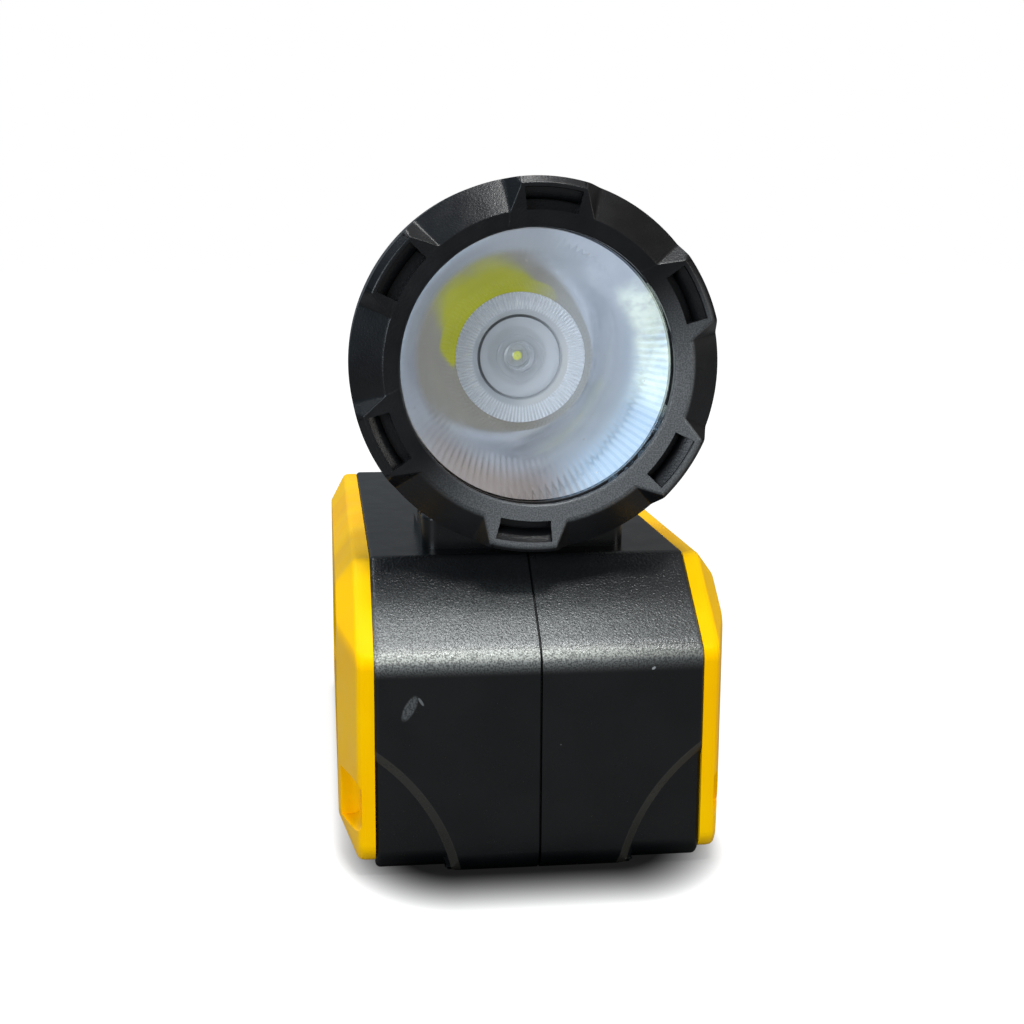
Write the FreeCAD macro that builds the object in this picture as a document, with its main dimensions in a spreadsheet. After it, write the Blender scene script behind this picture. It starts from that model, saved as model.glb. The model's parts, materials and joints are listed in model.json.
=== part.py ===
import FreeCAD, Part
import math
import os
import re
import Sketcher

# Miner's cap lamp: a round lamp head on a neck block, on a two-part battery housing
# with a bumper on each side. The lamp shines towards -Y, +X is to its right as seen from
# the front, and the origin is the centre of the housing's base.

Vector = FreeCAD.Vector
ORIGIN = Vector(0, 0, 0)
LAMP_AXIS = Vector(0, 1, 0)
doc = FreeCAD.newDocument("cap_lamp")

# Driving sizes in millimetres and degrees
SIZES = {
    "housing_width": 65.0,
    "housing_length": 140.0,
    "front_height": 44.9,
    "top_height": 60.8,
    "slope_run": 21.1,
    "shell_wall": 2.4,
    "inner_radius": 1.5,
    "shield_step": 1.0,
    "shield_side_height": 26.6,
    "keel_half": 15.5,
    "shield_radius": 42.5,
    "facet_width": 1.7,
    "base_radius": 4.5,
    "crease_radius": 5.0,
    "shoulder_radius": 2.0,
    "rear_radius": 5.0,
    "side_radius": 1.0,
    "seam_gap": 0.5,
    "seam_recess": 0.6,
    "spare": 1.0,
    "running_gap": 0.3,
    "boss_radius": 4.0,
    "boss_inset": 9.0,
    "side_boss_radius": 3.2,
    "screw_radius": 1.5,
    "screw_head_radius": 2.8,
    "screw_head_height": 1.8,
    "screw_clearance": 0.05,
    "screw_reach": 6.0,
    "seam_screw_seat": 12.0,
    "seam_screw_tip": 14.0,
    "bumper_thickness": 7.0,
    "bumper_edge": 3.2,
    "bumper_margin": 0.5,
    "bumper_base_gap": 3.0,
    "bumper_bend": 1.3,
    "bevel_front": 13.0,
    "bevel_height": 5.0,
    "bumper_corner": 4.0,
    "pad_rim": 4.2,
    "pad_pocket": 2.5,
    "pad_thickness": 1.7,
    "pad_clearance": 0.2,
    "pad_corner": 5.0,
    "pad_screw_inset": 34.0,
    "notch_low": 9.6,
    "notch_height": 10.4,
    "notch_depth": 12.0,
    "notch_floor": 2.6,
    "notch_round": 2.0,
    "notch_screw_inset": 6.0,
    "cell_headroom": 9.0,
    "cell_length": 70.0,
    "cell_space": 1.4,
    "cell_clearance": 0.15,
    "cell_nub_radius": 3.0,
    "cell_nub_height": 1.0,
    "tray_wall": 2.0,
    "tray_skin": 0.6,
    "tray_length": 52.0,
    "tray_fin": 2.0,
    "wire_way_radius": 3.3,
    "strip_thickness": 0.3,
    "strip_margin": 4.0,
    "board_thickness": 1.6,
    "board_half": 19.0,
    "board_gap": 2.0,
    "chip_height": 2.0,
    "head_setback": 7.2,
    "head_gap": 4.884,
    "bezel_radius": 36.3,
    "bezel_depth": 14.0,
    "bezel_lip": 1.5,
    "bezel_flat_radius": 29.9,
    "bezel_slope_depth": 4.5,
    "lug_face_radius": 35.2,
    "lug_chamfer_depth": 1.2,
    "lug_inner_half": 8.1,
    "lug_outer_half": 6.3,
    "lug_flare": 3.4,
    "lug_root": 3.0,
    "lug_count": 6,
    "lug_turn": 4.5,
    "window_inner_radius": 29.8,
    "window_outer_radius": 34.3,
    "window_inner_half": 4.9,
    "window_outer_half": 5.9,
    "window_ledge_depth": 1.3,
    "window_ledge_width": 2.1,
    "window_depth": 3.0,
    "aperture_radius": 26.7,
    "lens_radius": 28.2,
    "lens_thickness": 2.2,
    "lens_chamfer": 0.4,
    "seal_width": 1.4,
    "seal_thickness": 0.6,
    "reflector_mouth": 26.4,
    "reflector_throat": 13.6,
    "reflector_depth": 24.0,
    "reflector_wall": 1.2,
    "reflector_flange_radius": 30.2,
    "optic_radius": 13.3,
    "optic_disc_radius": 8.4,
    "optic_disc_dip": 0.8,
    "optic_rim": 2.0,
    "optic_draft": 0.4,
    "optic_depth": 8.5,
    "optic_foot_radius": 6.0,
    "optic_well_radius": 3.0,
    "optic_well_depth": 4.0,
    "optic_flutes": 30,
    "optic_flute_depth": 0.35,
    "emitter_size": 3.45,
    "emitter_height": 0.7,
    "emitter_dome_radius": 1.3,
    "led_board_radius": 14.0,
    "spigot_radius": 30.5,
    "spigot_bore": 27.6,
    "flange_radius": 34.0,
    "flange_length": 3.7,
    "flange_chamfer": 0.8,
    "flange_taper": 3.0,
    "barrel_radius": 29.0,
    "barrel_rear_radius": 24.0,
    "barrel_inner_rear": 23.6,
    "barrel_round": 3.0,
    "head_depth": 50.0,
    "head_rear_radius": 17.0,
    "head_wall": 2.3,
    "rib_count": 4,
    "rib_start": 8.0,
    "rib_pitch": 4.4,
    "rib_groove": 1.9,
    "rib_depth": 1.0,
    "sink_radius": 19.9,
    "sink_clearance": 0.1,
    "sink_plate": 4.0,
    "sink_wall": 3.0,
    "switch_radius": 5.0,
    "button_radius": 7.0,
    "button_proud": 3.0,
    "button_round": 1.4,
    "button_dish": 0.5,
    "button_flange": 1.2,
    "button_flange_radius": 8.5,
    "button_travel": 1.5,
    "neck_half": 21.3,
    "neck_block_height": 7.0,
    "neck_front_gap": 6.0,
    "neck_corner": 3.0,
    "neck_edge": 1.0,
    "neck_tail": 11.0,
    "neck_tail_thickness": 2.5,
    "neck_screw_inset": 6.0,
    "neck_screw_setback": 4.5,
    "ear_radius": 5.5,
    "foot_half": 10.8,
    "pivot_height": 7.5,
    "pivot_setback": 32.0,
    "pin_radius": 2.0,
    "pin_clearance": 0.05,
    "pin_inset": 0.2,
    "hook_half": 11.0,
    "hook_thickness": 1.5,
    "hook_gap": 5.0,
    "hook_drop": 7.0,
    "hook_low": 12.0,
    "hook_foot": 12.0,
    "hook_lead": 4.0,
    "hook_flare": 1.5,
    "hook_bend": 1.8,
    "hook_screw_across": 6.0,
    "hook_screw_drop": 5.0,
    "socket_inset": 10.0,
    "socket_height": 24.0,
    "socket_radius": 5.0,
    "socket_rim": 1.0,
    "socket_rim_radius": 6.8,
    "socket_nut": 1.5,
    "socket_bore": 2.75,
    "socket_bore_depth": 9.5,
    "socket_length": 14.0,
    "socket_pin_radius": 0.9,
    "cover_half": 7.5,
    "cover_height": 17.0,
    "cover_thickness": 2.0,
    "cover_tab": 3.0,
    "cover_tab_height": 1.6,
    "cover_plug_radius": 2.0,
    "cover_plug_reach": 1.5,
    "hinge_radius": 2.0,
    "hinge_pin_radius": 0.8,
    "hinge_pin_clearance": 0.05,
    "hinge_foot": 1.2,
}

# Sizes worked out from the driving ones
FORMULAS = {
    "half_width": "housing_width / 2",
    "front_face": "-housing_length / 2",
    "rear_face": "housing_length / 2",
    "slope_tan": "(top_height - front_height) / slope_run",
    "top_front": "front_face + slope_run",
    "core_front": "front_face + shield_step",
    "core_crease": "front_height + shield_step * slope_tan",
    "front_turn": "tan((90 deg - atan(slope_tan)) / 2)",
    "top_turn": "tan(atan(slope_tan) / 2)",
    "wall_front": "core_front + shell_wall",
    "wall_rear": "rear_face - shell_wall",
    "wall_top": "top_height - shell_wall",
    "wall_base": "shield_step + shell_wall",
    "wall_side": "half_width - shell_wall",
    "wall_middle": "half_width - shell_wall / 2",
    "seam_seat": "half_width - seam_screw_seat",
    "seam_tip": "seam_screw_tip - half_width",
    "bumper_face": "half_width + bumper_thickness",
    "bumper_crease": "half_width + bumper_edge",
    "pad_floor": "bumper_face - pad_pocket",
    "notch_face": "half_width + notch_floor",
    "side_screw_tip": "half_width - screw_reach - spare",
    "head_front": "front_face + head_setback",
    "lens_front": "bezel_lip + running_gap",
    "lens_back": "lens_front + lens_thickness",
    "reflector_front": "lens_back + seal_thickness",
    "spigot_front": "reflector_front + reflector_wall",
    "optic_front": "reflector_front + reflector_depth - reflector_wall",
    "board_front": "optic_front + optic_depth",
    "sink_front": "board_front + board_thickness",
    "sink_bore": "sink_radius + sink_clearance",
    "shell_floor": "head_depth - head_wall",
    "flange_front": "bezel_depth + running_gap",
    "barrel_start": "flange_front + flange_length + flange_taper",
    "barrel_end": "head_depth - 2 * head_wall",
    "barrel_slope": "(barrel_radius - barrel_rear_radius) / (barrel_end - barrel_start)",
    "barrel_at_pivot": "barrel_radius - (pivot_setback - barrel_start) * barrel_slope",
    "pivot_y": "head_front + pivot_setback",
    "pivot_z": "top_height + pivot_height",
    "head_axis_height": "pivot_z + barrel_at_pivot + head_gap",
    "neck_front": "top_front + neck_front_gap",
    "neck_rear": "pivot_y + ear_radius + spare",
    "neck_top": "top_height + neck_block_height",
    "hook_top": "top_height - hook_drop",
    "tray_base": "wall_base",
    "cell_stack": "wall_top - cell_headroom - tray_skin - tray_wall - tray_base",
    "cell_radius": "(cell_stack - cell_space) / 4",
    "cell_pitch": "2 * cell_radius + cell_space",
    "cell_low": "tray_base + tray_wall + cell_radius",
    "cell_high": "cell_low + cell_pitch",
    "tray_top": "cell_high + cell_radius + tray_skin",
    "tray_half": "cell_pitch / 2 + cell_radius + tray_wall",
    "board_y": "cell_length / 2 + cell_nub_height + strip_thickness + board_gap",
    "hook_inner": "rear_face + hook_gap",
    "hook_outer": "hook_inner + hook_thickness",
    "socket_across": "half_width - socket_inset",
    "socket_front": "rear_face + socket_rim - socket_length",
    "cover_inner": "rear_face + socket_rim + running_gap",
    "cover_low": "socket_height - cover_height / 2",
    "cover_left": "socket_across - cover_half",
    "cover_right": "socket_across + cover_half",
    "hinge_y": "rear_face + hinge_radius + running_gap",
    "hinge_z": "socket_height + cover_height / 2 + hinge_radius",
}


def make_sheet():
    """The spreadsheet of driving sizes, one alias to a row."""
    sheet = doc.addObject("Spreadsheet::Sheet", "Dims")
    for row, (name, value) in enumerate(SIZES.items(), start=1):
        sheet.set("A%d" % row, name)
        sheet.set("B%d" % row, "%g" % value)
        sheet.setAlias("B%d" % row, name)
    doc.recompute()
    return sheet


SHEET = make_sheet()
WORD = re.compile(r"[A-Za-z_][A-Za-z_0-9]*")


def expand(text):
    """Write an expression in full, with each size read from the spreadsheet."""
    def swap(match):
        word = match.group(0)
        if word in FORMULAS:
            return "(" + expand(FORMULAS[word]) + ")"
        return "Dims." + word if word in SIZES else word
    return WORD.sub(swap, str(text))


def size(text):
    """The present value of an expression."""
    return float(SHEET.evalExpression(expand(text)))


def bind(item, **sizes):
    """Tie properties of an object to expressions."""
    for name, text in sizes.items():
        item.setExpression(name, expand(text))
    return item


def place(item, spot):
    """Tie an object's position to three expressions."""
    for axis, text in zip("xyz", spot):
        item.setExpression("Placement.Base." + axis, expand(text))
    return item


def on_lamp_axis(item):
    """Move a piece drawn about the origin to the lamp's axis, level with the head's front."""
    return place(item, ("0", "head_front", "head_axis_height"))


# How a piece that stands along +Z is turned to lie along each axis
TURNS = {
    "x": FreeCAD.Rotation(Vector(0, 1, 0), 90),
    "y": FreeCAD.Rotation(Vector(1, 0, 0), -90),
    "-y": FreeCAD.Rotation(Vector(1, 0, 0), 90),
    "z": FreeCAD.Rotation(),
}


def aim(item, direction):
    """Point an object that is made along +Z another way."""
    item.Placement = FreeCAD.Placement(ORIGIN, TURNS[direction])
    return item


def rod(name, radius, length, direction, spot):
    """A plain cylinder that starts at a spot and runs one way."""
    item = aim(doc.addObject("Part::Cylinder", name), direction)
    return place(bind(item, Radius=radius, Height=length), spot)


def taper(name, first_radius, last_radius, length, direction, spot):
    """A cone that starts at a spot and runs one way."""
    item = aim(doc.addObject("Part::Cone", name), direction)
    return place(bind(item, Radius1=first_radius, Radius2=last_radius, Height=length), spot)


def block(name, low, high):
    """A box between two corners, each given as three expressions."""
    item = doc.addObject("Part::Box", name)
    spans = ["(%s) - (%s)" % (top, bottom) for bottom, top in zip(low, high)]
    return place(bind(item, Length=spans[0], Width=spans[1], Height=spans[2]), low)


def fuse(name, *items):
    """Several solids joined into one."""
    item = doc.addObject("Part::MultiFuse", name)
    item.Shapes = list(items)
    item.Refine = True
    return item


def cut(name, base, *tools):
    """One solid with one or more others taken away."""
    item = doc.addObject("Part::Cut", name)
    item.Base = base
    item.Tool = tools[0] if len(tools) == 1 else fuse(name + "_tools", *tools)
    item.Refine = True
    return item


def common(name, *items):
    """What several solids share."""
    item = doc.addObject("Part::MultiCommon", name)
    item.Shapes = list(items)
    return item


def mirror(name, source):
    """The same piece on the other side of the middle plane."""
    item = doc.addObject("Part::Mirroring", name)
    item.Source = source
    item.Normal = Vector(1, 0, 0)
    return item


def group(name, *items):
    """Separate solids kept as one piece of the list, such as a set of screws."""
    item = doc.addObject("Part::Compound", name)
    item.Links = list(items)
    return item


def fixed_shape(name, shape):
    """A shape worked out in the script from the driving sizes."""
    item = doc.addObject("Part::Feature", name)
    item.Shape = shape
    return item


def plane_of(body, role):
    """One of a body's own origin planes."""
    return [item for item in body.Origin.OriginFeatures if item.Role == role][0]


def outline(body, name, role, corners, offset="0"):
    """A closed sketch of straight lines whose corners are tied to expressions."""
    sketch = body.newObject("Sketcher::SketchObject", name)
    sketch.AttachmentSupport = (plane_of(body, role), [""])
    sketch.MapMode = "FlatFace"
    sketch.setExpression("AttachmentOffset.Base.z", expand(offset))
    points = [Vector(size(first), size(second), 0) for first, second in corners]
    count = len(points)
    for index in range(count):
        sketch.addGeometry(Part.LineSegment(points[index], points[(index + 1) % count]))
    for index in range(count):
        sketch.addConstraint(Sketcher.Constraint("Coincident", index, 2, (index + 1) % count, 1))
    for index, corner in enumerate(corners):
        for kind, text, value in zip(("DistanceX", "DistanceY"), corner, points[index][:2]):
            number = sketch.addConstraint(Sketcher.Constraint(kind, -1, 1, index, 1, value))
            sketch.setExpression("Constraints[%d]" % number, expand(text))
    return sketch


def pad(body, name, sketch, length, backwards=False):
    """A sketch drawn out to a solid."""
    item = body.newObject("PartDesign::Pad", name)
    item.Profile = sketch
    item.Reversed = backwards
    bind(item, Length=length)
    doc.recompute()
    return item


def round_edges(body, name, radius, wanted):
    """A fillet on the edges of a body that a test picks."""
    tip = body.Tip
    names = ["Edge%d" % (index + 1) for index, edge in enumerate(tip.Shape.Edges) if wanted(edge)]
    item = body.newObject("PartDesign::Fillet", name)
    item.Base = (tip, names)
    bind(item, Radius=radius)
    doc.recompute()
    return item


def near(first, second):
    """True where two lengths are the same."""
    return abs(first - second) < 1e-4


def lies_at(edge, **where):
    """True where both ends of an edge have the given coordinates."""
    return all(near(getattr(end, axis), size(text)) for end in edge.Vertexes for axis, text in where.items())


def side_slab(name, corners, start, length, radii):
    """A slab with a side-view outline, drawn out along X, with its long edges rounded."""
    body = doc.addObject("PartDesign::Body", name)
    pad(body, name + "_pad", outline(body, name + "_side", "YZ_Plane", corners, start), length)
    for index, (along, up) in enumerate(corners):
        round_edges(body, "%s_round_%d" % (name, index), radii[index],
                    lambda edge: lies_at(edge, Y=along, Z=up))
    return body


# Battery housing: side-view outlines of the skin, of the proud shield and keel, and of the hollow

CORE = [
    ("core_front", "shield_step"),
    ("core_front", "core_crease"),
    ("top_front", "top_height"),
    ("rear_face", "top_height"),
    ("rear_face", "shield_step"),
]
FULL = [
    ("front_face", "0"),
    ("front_face", "front_height"),
    ("top_front", "top_height"),
    ("rear_face", "top_height"),
    ("rear_face", "0"),
]
HOLLOW = [
    ("wall_front", "wall_base"),
    ("wall_front", "core_crease - shell_wall * front_turn"),
    ("top_front + shell_wall * top_turn", "wall_top"),
    ("wall_rear", "wall_top"),
    ("wall_rear", "wall_base"),
]
OUTER_RADII = ["base_radius", "crease_radius", "shoulder_radius", "rear_radius", "base_radius"]
INNER_RADII = ["inner_radius"] * 5

# Screw axes: along and up for those that lie along X, across and along for the neck's
SEAM_SCREWS = [
    ("core_front + boss_inset + crease_radius", "shield_step + boss_inset"),
    ("top_front + boss_inset", "top_height - boss_inset"),
    ("rear_face - boss_inset", "shield_step + boss_inset"),
    ("rear_face - boss_inset", "top_height - boss_inset"),
]
NOTCH_SCREWS = [
    ("front_face + notch_screw_inset", "notch_low + notch_height / 2"),
    ("rear_face - notch_screw_inset", "notch_low + notch_height / 2"),
]
PAD_SCREWS = [
    ("front_face + pad_screw_inset + boss_radius", "(wall_base + wall_top) / 2 + side_boss_radius"),
    ("rear_face - pad_screw_inset + boss_radius", "(wall_base + wall_top) / 2 + side_boss_radius"),
]
NECK_SCREWS = [
    ("neck_half - neck_screw_inset", "neck_front + neck_screw_setback"),
    ("neck_half - neck_screw_inset", "neck_rear + neck_tail / 2"),
]
HOOK_SCREW_HEIGHT = "hook_top - hook_screw_drop"


def housing_skin(name, corners):
    """One half of the housing's outside, with its side edge rounded too."""
    body = side_slab(name, corners, "seam_gap / 2", "half_width - seam_gap / 2", OUTER_RADII)
    round_edges(body, name + "_side_round", "side_radius", lambda edge: lies_at(edge, X="half_width"))
    return body


def shield_scoop():
    """The cone that leaves the shield's curved edge, through a point on the side and one on the base."""
    side = Vector(size("half_width"), 0, size("shield_side_height"))
    base = Vector(size("keel_half"), 0, 0)
    chord = side - base
    away = Vector(chord.z, 0, -chord.x).normalize()
    radius = size("shield_radius")
    centre = (side + base) / 2 + away * math.sqrt(radius ** 2 - (chord.Length / 2) ** 2)
    return taper("shield_scoop", "shield_radius + 2 * facet_width",
                 "shield_radius - 2 * facet_width", "4 * shield_step", "y",
                 ("%.6f" % centre.x, "front_face - 2 * shield_step", "%.6f" % centre.z))


def shield_zone():
    """The space in which the housing stands proud: the shield in front and the keel below."""
    front = block("shield_front", ("0", "front_face - spare", "-1 * spare"),
                  ("half_width + spare", "front_face + 1.5 * shield_step", "top_height"))
    keel = aim(doc.addObject("Part::Wedge", "keel_zone"), "-y")
    bind(keel, Xmin="0", Xmax="keel_half - facet_width", X2min="0", X2max="keel_half + 2 * facet_width",
         Ymin="-1 * shield_step", Ymax="2 * shield_step",
         Zmin="0", Zmax="housing_length + 2 * spare", Z2min="0", Z2max="housing_length + 2 * spare")
    place(keel, ("0", "rear_face + spare", "0"))
    return fuse("shield_zone", cut("shield_front_zone", front, shield_scoop()), keel)


def housing_bosses():
    """Posts inside the half on +X for every screw that bites into it."""
    bosses = []
    for index, (along, up) in enumerate(SEAM_SCREWS):
        bosses.append(rod("seam_boss_%d" % index, "boss_radius", "wall_middle - seam_gap / 2", "x",
                          ("seam_gap / 2", along, up)))
    for index, (along, up) in enumerate(NOTCH_SCREWS + PAD_SCREWS):
        bosses.append(rod("side_boss_%d" % index, "side_boss_radius", "wall_middle - side_screw_tip", "x",
                          ("side_screw_tip", along, up)))
    for index, (across, along) in enumerate(NECK_SCREWS):
        bosses.append(rod("roof_boss_%d" % index, "side_boss_radius", "screw_reach", "z",
                          (across, along, "top_height - screw_reach - spare")))
    bosses.append(rod("hook_boss", "side_boss_radius", "screw_reach", "y",
                      ("hook_screw_across", "rear_face - screw_reach - spare", HOOK_SCREW_HEIGHT)))
    return bosses


def housing_screw_holes():
    """Holes in the half on +X for the screws that come in from outside."""
    bore = "screw_radius + screw_clearance"
    length = "screw_reach + 2 * spare"
    tools = []
    for index, (along, up) in enumerate(NOTCH_SCREWS + PAD_SCREWS):
        tools.append(rod("side_hole_%d" % index, bore, length, "x", ("side_screw_tip", along, up)))
    for index, (across, along) in enumerate(NECK_SCREWS):
        tools.append(rod("roof_hole_%d" % index, bore, length, "z",
                         (across, along, "top_height - screw_reach - spare")))
    tools.append(rod("hook_hole", bore, length, "y",
                     ("hook_screw_across", "rear_face - screw_reach - spare", HOOK_SCREW_HEIGHT)))
    return tools


def housing_half():
    """The half that lies on +X, before the holes of the seam screws."""
    core = housing_skin("core_skin", CORE)
    shield = common("shield", housing_skin("full_skin", FULL), shield_zone())
    hollow = side_slab("half_hollow", HOLLOW, "0", "wall_side", INNER_RADII)
    shell = cut("half_shell", fuse("half_skin", core, shield), hollow)
    bosses = common("half_bosses", fuse("all_bosses", *housing_bosses()), core)
    return cut("half_drilled", fuse("half_body", shell, bosses), *housing_screw_holes())


def make_seam_screws():
    """The screws that hold the halves together, with the through holes and the pilot holes."""
    through = []
    pilot = []
    screws = []
    length = "seam_seat - seam_tip"
    for index, (along, up) in enumerate(SEAM_SCREWS):
        through.append(rod("seam_hole_%d" % index, "screw_radius + screw_clearance", length, "x",
                           ("0", along, up)))
        through.append(rod("seam_sink_%d" % index, "screw_head_radius + running_gap",
                           "seam_screw_seat + spare", "x", ("seam_seat", along, up)))
        pilot.append(rod("seam_pilot_%d" % index, "screw_radius + screw_clearance", length, "x",
                         ("seam_tip", along, up)))
        shank = rod("seam_shank_%d" % index, "screw_radius", length, "x", ("seam_tip", along, up))
        head = rod("seam_head_%d" % index, "screw_head_radius", "screw_head_height", "x",
                   ("seam_seat", along, up))
        screws.append(fuse("seam_screw_%d" % index, shank, head))
    return through, pilot, screws


def make_housing_seal():
    """A thin gasket in the parting line, set in from the outside so that the line shows."""
    outer = [
        ("core_front + seam_recess", "shield_step + seam_recess"),
        ("core_front + seam_recess", "core_crease - seam_recess * front_turn"),
        ("top_front + seam_recess * top_turn", "top_height - seam_recess"),
        ("rear_face - seam_recess", "top_height - seam_recess"),
        ("rear_face - seam_recess", "shield_step + seam_recess"),
    ]
    radii = ["%s - seam_recess" % radius for radius in OUTER_RADII]
    sheet = side_slab("seal_sheet", outer, "-seam_gap / 2", "seam_gap", radii)
    window = side_slab("seal_window", HOLLOW, "-seam_gap", "2 * seam_gap", INNER_RADII)
    holes = [rod("seal_hole_%d" % index, "screw_radius + screw_clearance", "2 * seam_gap", "x",
                 ("-seam_gap", along, up)) for index, (along, up) in enumerate(SEAM_SCREWS)]
    bead = block("seal_bead", ("-seam_gap / 2", "front_face + 2 * base_radius", "0"),
                 ("seam_gap / 2", "rear_face - 2 * base_radius", "wall_base"))
    return fuse("housing_seal", cut("seal_ring", sheet, window, *holes), bead)


def make_housing():
    """Both halves, the seal between them and the screws through them."""
    half = housing_half()
    through, pilot, screws = make_seam_screws()
    socket_hole = rod("socket_hole", "socket_radius + screw_clearance", "shell_wall + 2 * spare", "y",
                      ("socket_across", "wall_rear - spare", "socket_height"))
    right = cut("housing_right", half, socket_hole, *through)
    left = cut("housing_left", mirror("half_mirrored", half), *pilot)
    return [left, right, make_housing_seal(), group("housing_screws", *screws)]


# Side bumpers and their pads

def bumper_corners(lead, drop):
    """Side-view corners of the bumper, drawn in by a lead at its ends and a drop above and below."""
    end = "(bumper_margin + %s)" % lead
    top = "(bumper_margin + %s)" % drop
    return [
        ("front_face + " + end, "bumper_base_gap + %s" % drop),
        ("front_face + " + end, "front_height + %s * slope_tan - %s * sqrt(1 + slope_tan ^ 2)" % (end, top)),
        ("top_front + %s * top_turn" % top, "top_height - " + top),
        ("rear_face - " + end, "top_height - " + top),
        ("rear_face - " + end, "bumper_base_gap + %s" % drop),
    ]


def rounded_wire(corners, radius, across):
    """A closed wire across X through the corners, each rounded by an arc."""
    points = [Vector(across, size(first), size(second)) for first, second in corners]
    count = len(points)
    arcs = []
    for index, corner in enumerate(points):
        back = (points[index - 1] - corner).normalize()
        ahead = (points[(index + 1) % count] - corner).normalize()
        half_angle = back.getAngle(ahead) / 2
        reach = radius / math.tan(half_angle)
        crown = corner + (back + ahead).normalize() * (radius / math.sin(half_angle) - radius)
        arcs.append((corner + back * reach, crown, corner + ahead * reach))
    pieces = []
    for index, (first, crown, last) in enumerate(arcs):
        pieces.append(Part.Arc(first, crown, last).toShape())
        pieces.append(Part.LineSegment(last, arcs[(index + 1) % count][0]).toShape())
    return Part.Wire(pieces)


def bumper_section(share, across):
    """The bumper's outline at a distance across, drawn in by a share of the bevel."""
    corners = bumper_corners("%f * bevel_front" % share, "%f * bevel_height" % share)
    return rounded_wire(corners, size("bumper_corner"), across)


def soft_bend(first, middle, last, steps):
    """Points of a soft bend between two straight runs, as shares and distances across."""
    points = []
    for step in range(steps + 1):
        part = step / steps
        weights = ((1 - part) ** 2, 2 * part * (1 - part), part ** 2)
        points.append([sum(weight * point[axis] for weight, point in zip(weights, (first, middle, last)))
                       for axis in (0, 1)])
    return points


def bumper_form():
    """The bumper on +X: a flat edge, then long bevels that run up to its outer face."""
    crease = size("bumper_crease")
    face = size("bumper_face")
    bend = size("bumper_bend")
    share = bend / size("bevel_front")
    rise = (face - crease) * share
    profile = [(0, size("half_width"))]
    profile += soft_bend((0, crease - bend), (0, crease), (share, crease + rise), 3)
    profile += [(1 - share / 2, face - rise / 2), (1, face - rise / 8), (1 + share / 2, face)]
    sections = [bumper_section(*point) for point in profile]
    return fixed_shape("bumper_form", Part.makeLoft(sections, True, True))


def pad_slab(name, gap, start, end):
    """A slab with the pad's rounded outline, drawn in by a gap."""
    corners = bumper_corners("bevel_front + pad_rim + %s" % gap, "bevel_height + pad_rim + %s" % gap)
    wires = [rounded_wire(corners, size("pad_corner"), size(across)) for across in (start, end)]
    return fixed_shape(name, Part.makeLoft(wires, True, True))


def bumper_notch(name, low, high):
    """The square notch through the bumper's bevel, with rounded inner corners."""
    body = doc.addObject("PartDesign::Body", name)
    corners = [
        (low, "notch_low"),
        (high, "notch_low"),
        (high, "notch_low + notch_height"),
        (low, "notch_low + notch_height"),
    ]
    sketch = outline(body, name + "_side", "YZ_Plane", corners, "notch_face")
    pad(body, name + "_pad", sketch, "bumper_thickness")
    round_edges(body, name + "_round", "notch_round", lambda edge: lies_at(edge, X="notch_face"))
    return body


def bumper_screw(name, seat, along, up):
    """A countersunk screw along X whose flat head ends at the seat, and the tools for its hole."""
    length = "%s - side_screw_tip - spare - running_gap" % seat
    start = "side_screw_tip + spare"
    neck = "%s - screw_head_height" % seat
    shank = rod(name + "_shank", "screw_radius", length, "x", (start, along, up))
    head = taper(name + "_head", "screw_radius", "screw_head_radius", "screw_head_height", "x",
                 (neck, along, up))
    hole = rod(name + "_hole", "screw_radius + screw_clearance", "bumper_thickness", "x",
               ("half_width - spare", along, up))
    sink = taper(name + "_sink", "screw_radius + screw_clearance", "screw_head_radius + screw_clearance",
                 "screw_head_height", "x", (neck, along, up))
    return fuse(name, shank, head), [hole, sink]


def make_bumpers():
    """Both bumpers, the pads let into them and the screws that hold them."""
    tools = [
        pad_slab("pad_pocket_tool", "0", "pad_floor", "bumper_face + spare"),
        bumper_notch("front_notch", "front_face - spare", "front_face + notch_depth"),
        bumper_notch("rear_notch", "rear_face - notch_depth", "rear_face + spare"),
    ]
    screws = []
    for kind, seat, spots in (("notch", "notch_face", NOTCH_SCREWS), ("pad", "pad_floor", PAD_SCREWS)):
        for index, (along, up) in enumerate(spots):
            screw, holes = bumper_screw("%s_screw_%d" % (kind, index), seat, along, up)
            screws.append(screw)
            tools += holes
    right = cut("bumper_right", bumper_form(), *tools)
    left = mirror("bumper_left", right)
    pad_right = pad_slab("side_pad_right", "pad_clearance", "pad_floor", "pad_floor + pad_thickness")
    pad_left = mirror("side_pad_left", pad_right)
    right_screws = group("right_bumper_screws", *screws)
    left_screws = mirror("left_bumper_screws", right_screws)
    return [left, right, pad_left, pad_right, group("bumper_screws", right_screws, left_screws)]


# Battery, tray and control board

CELLS = [("-cell_pitch / 2", "cell_low"), ("cell_pitch / 2", "cell_low"),
         ("-cell_pitch / 2", "cell_high"), ("cell_pitch / 2", "cell_high")]

# Chips on the control board: left, low, width and height as shares of the board
CHIPS = [(0.1, 0.1, 0.22, 0.2), (0.5, 0.12, 0.35, 0.15), (0.12, 0.5, 0.2, 0.3), (0.5, 0.45, 0.3, 0.35)]


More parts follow.
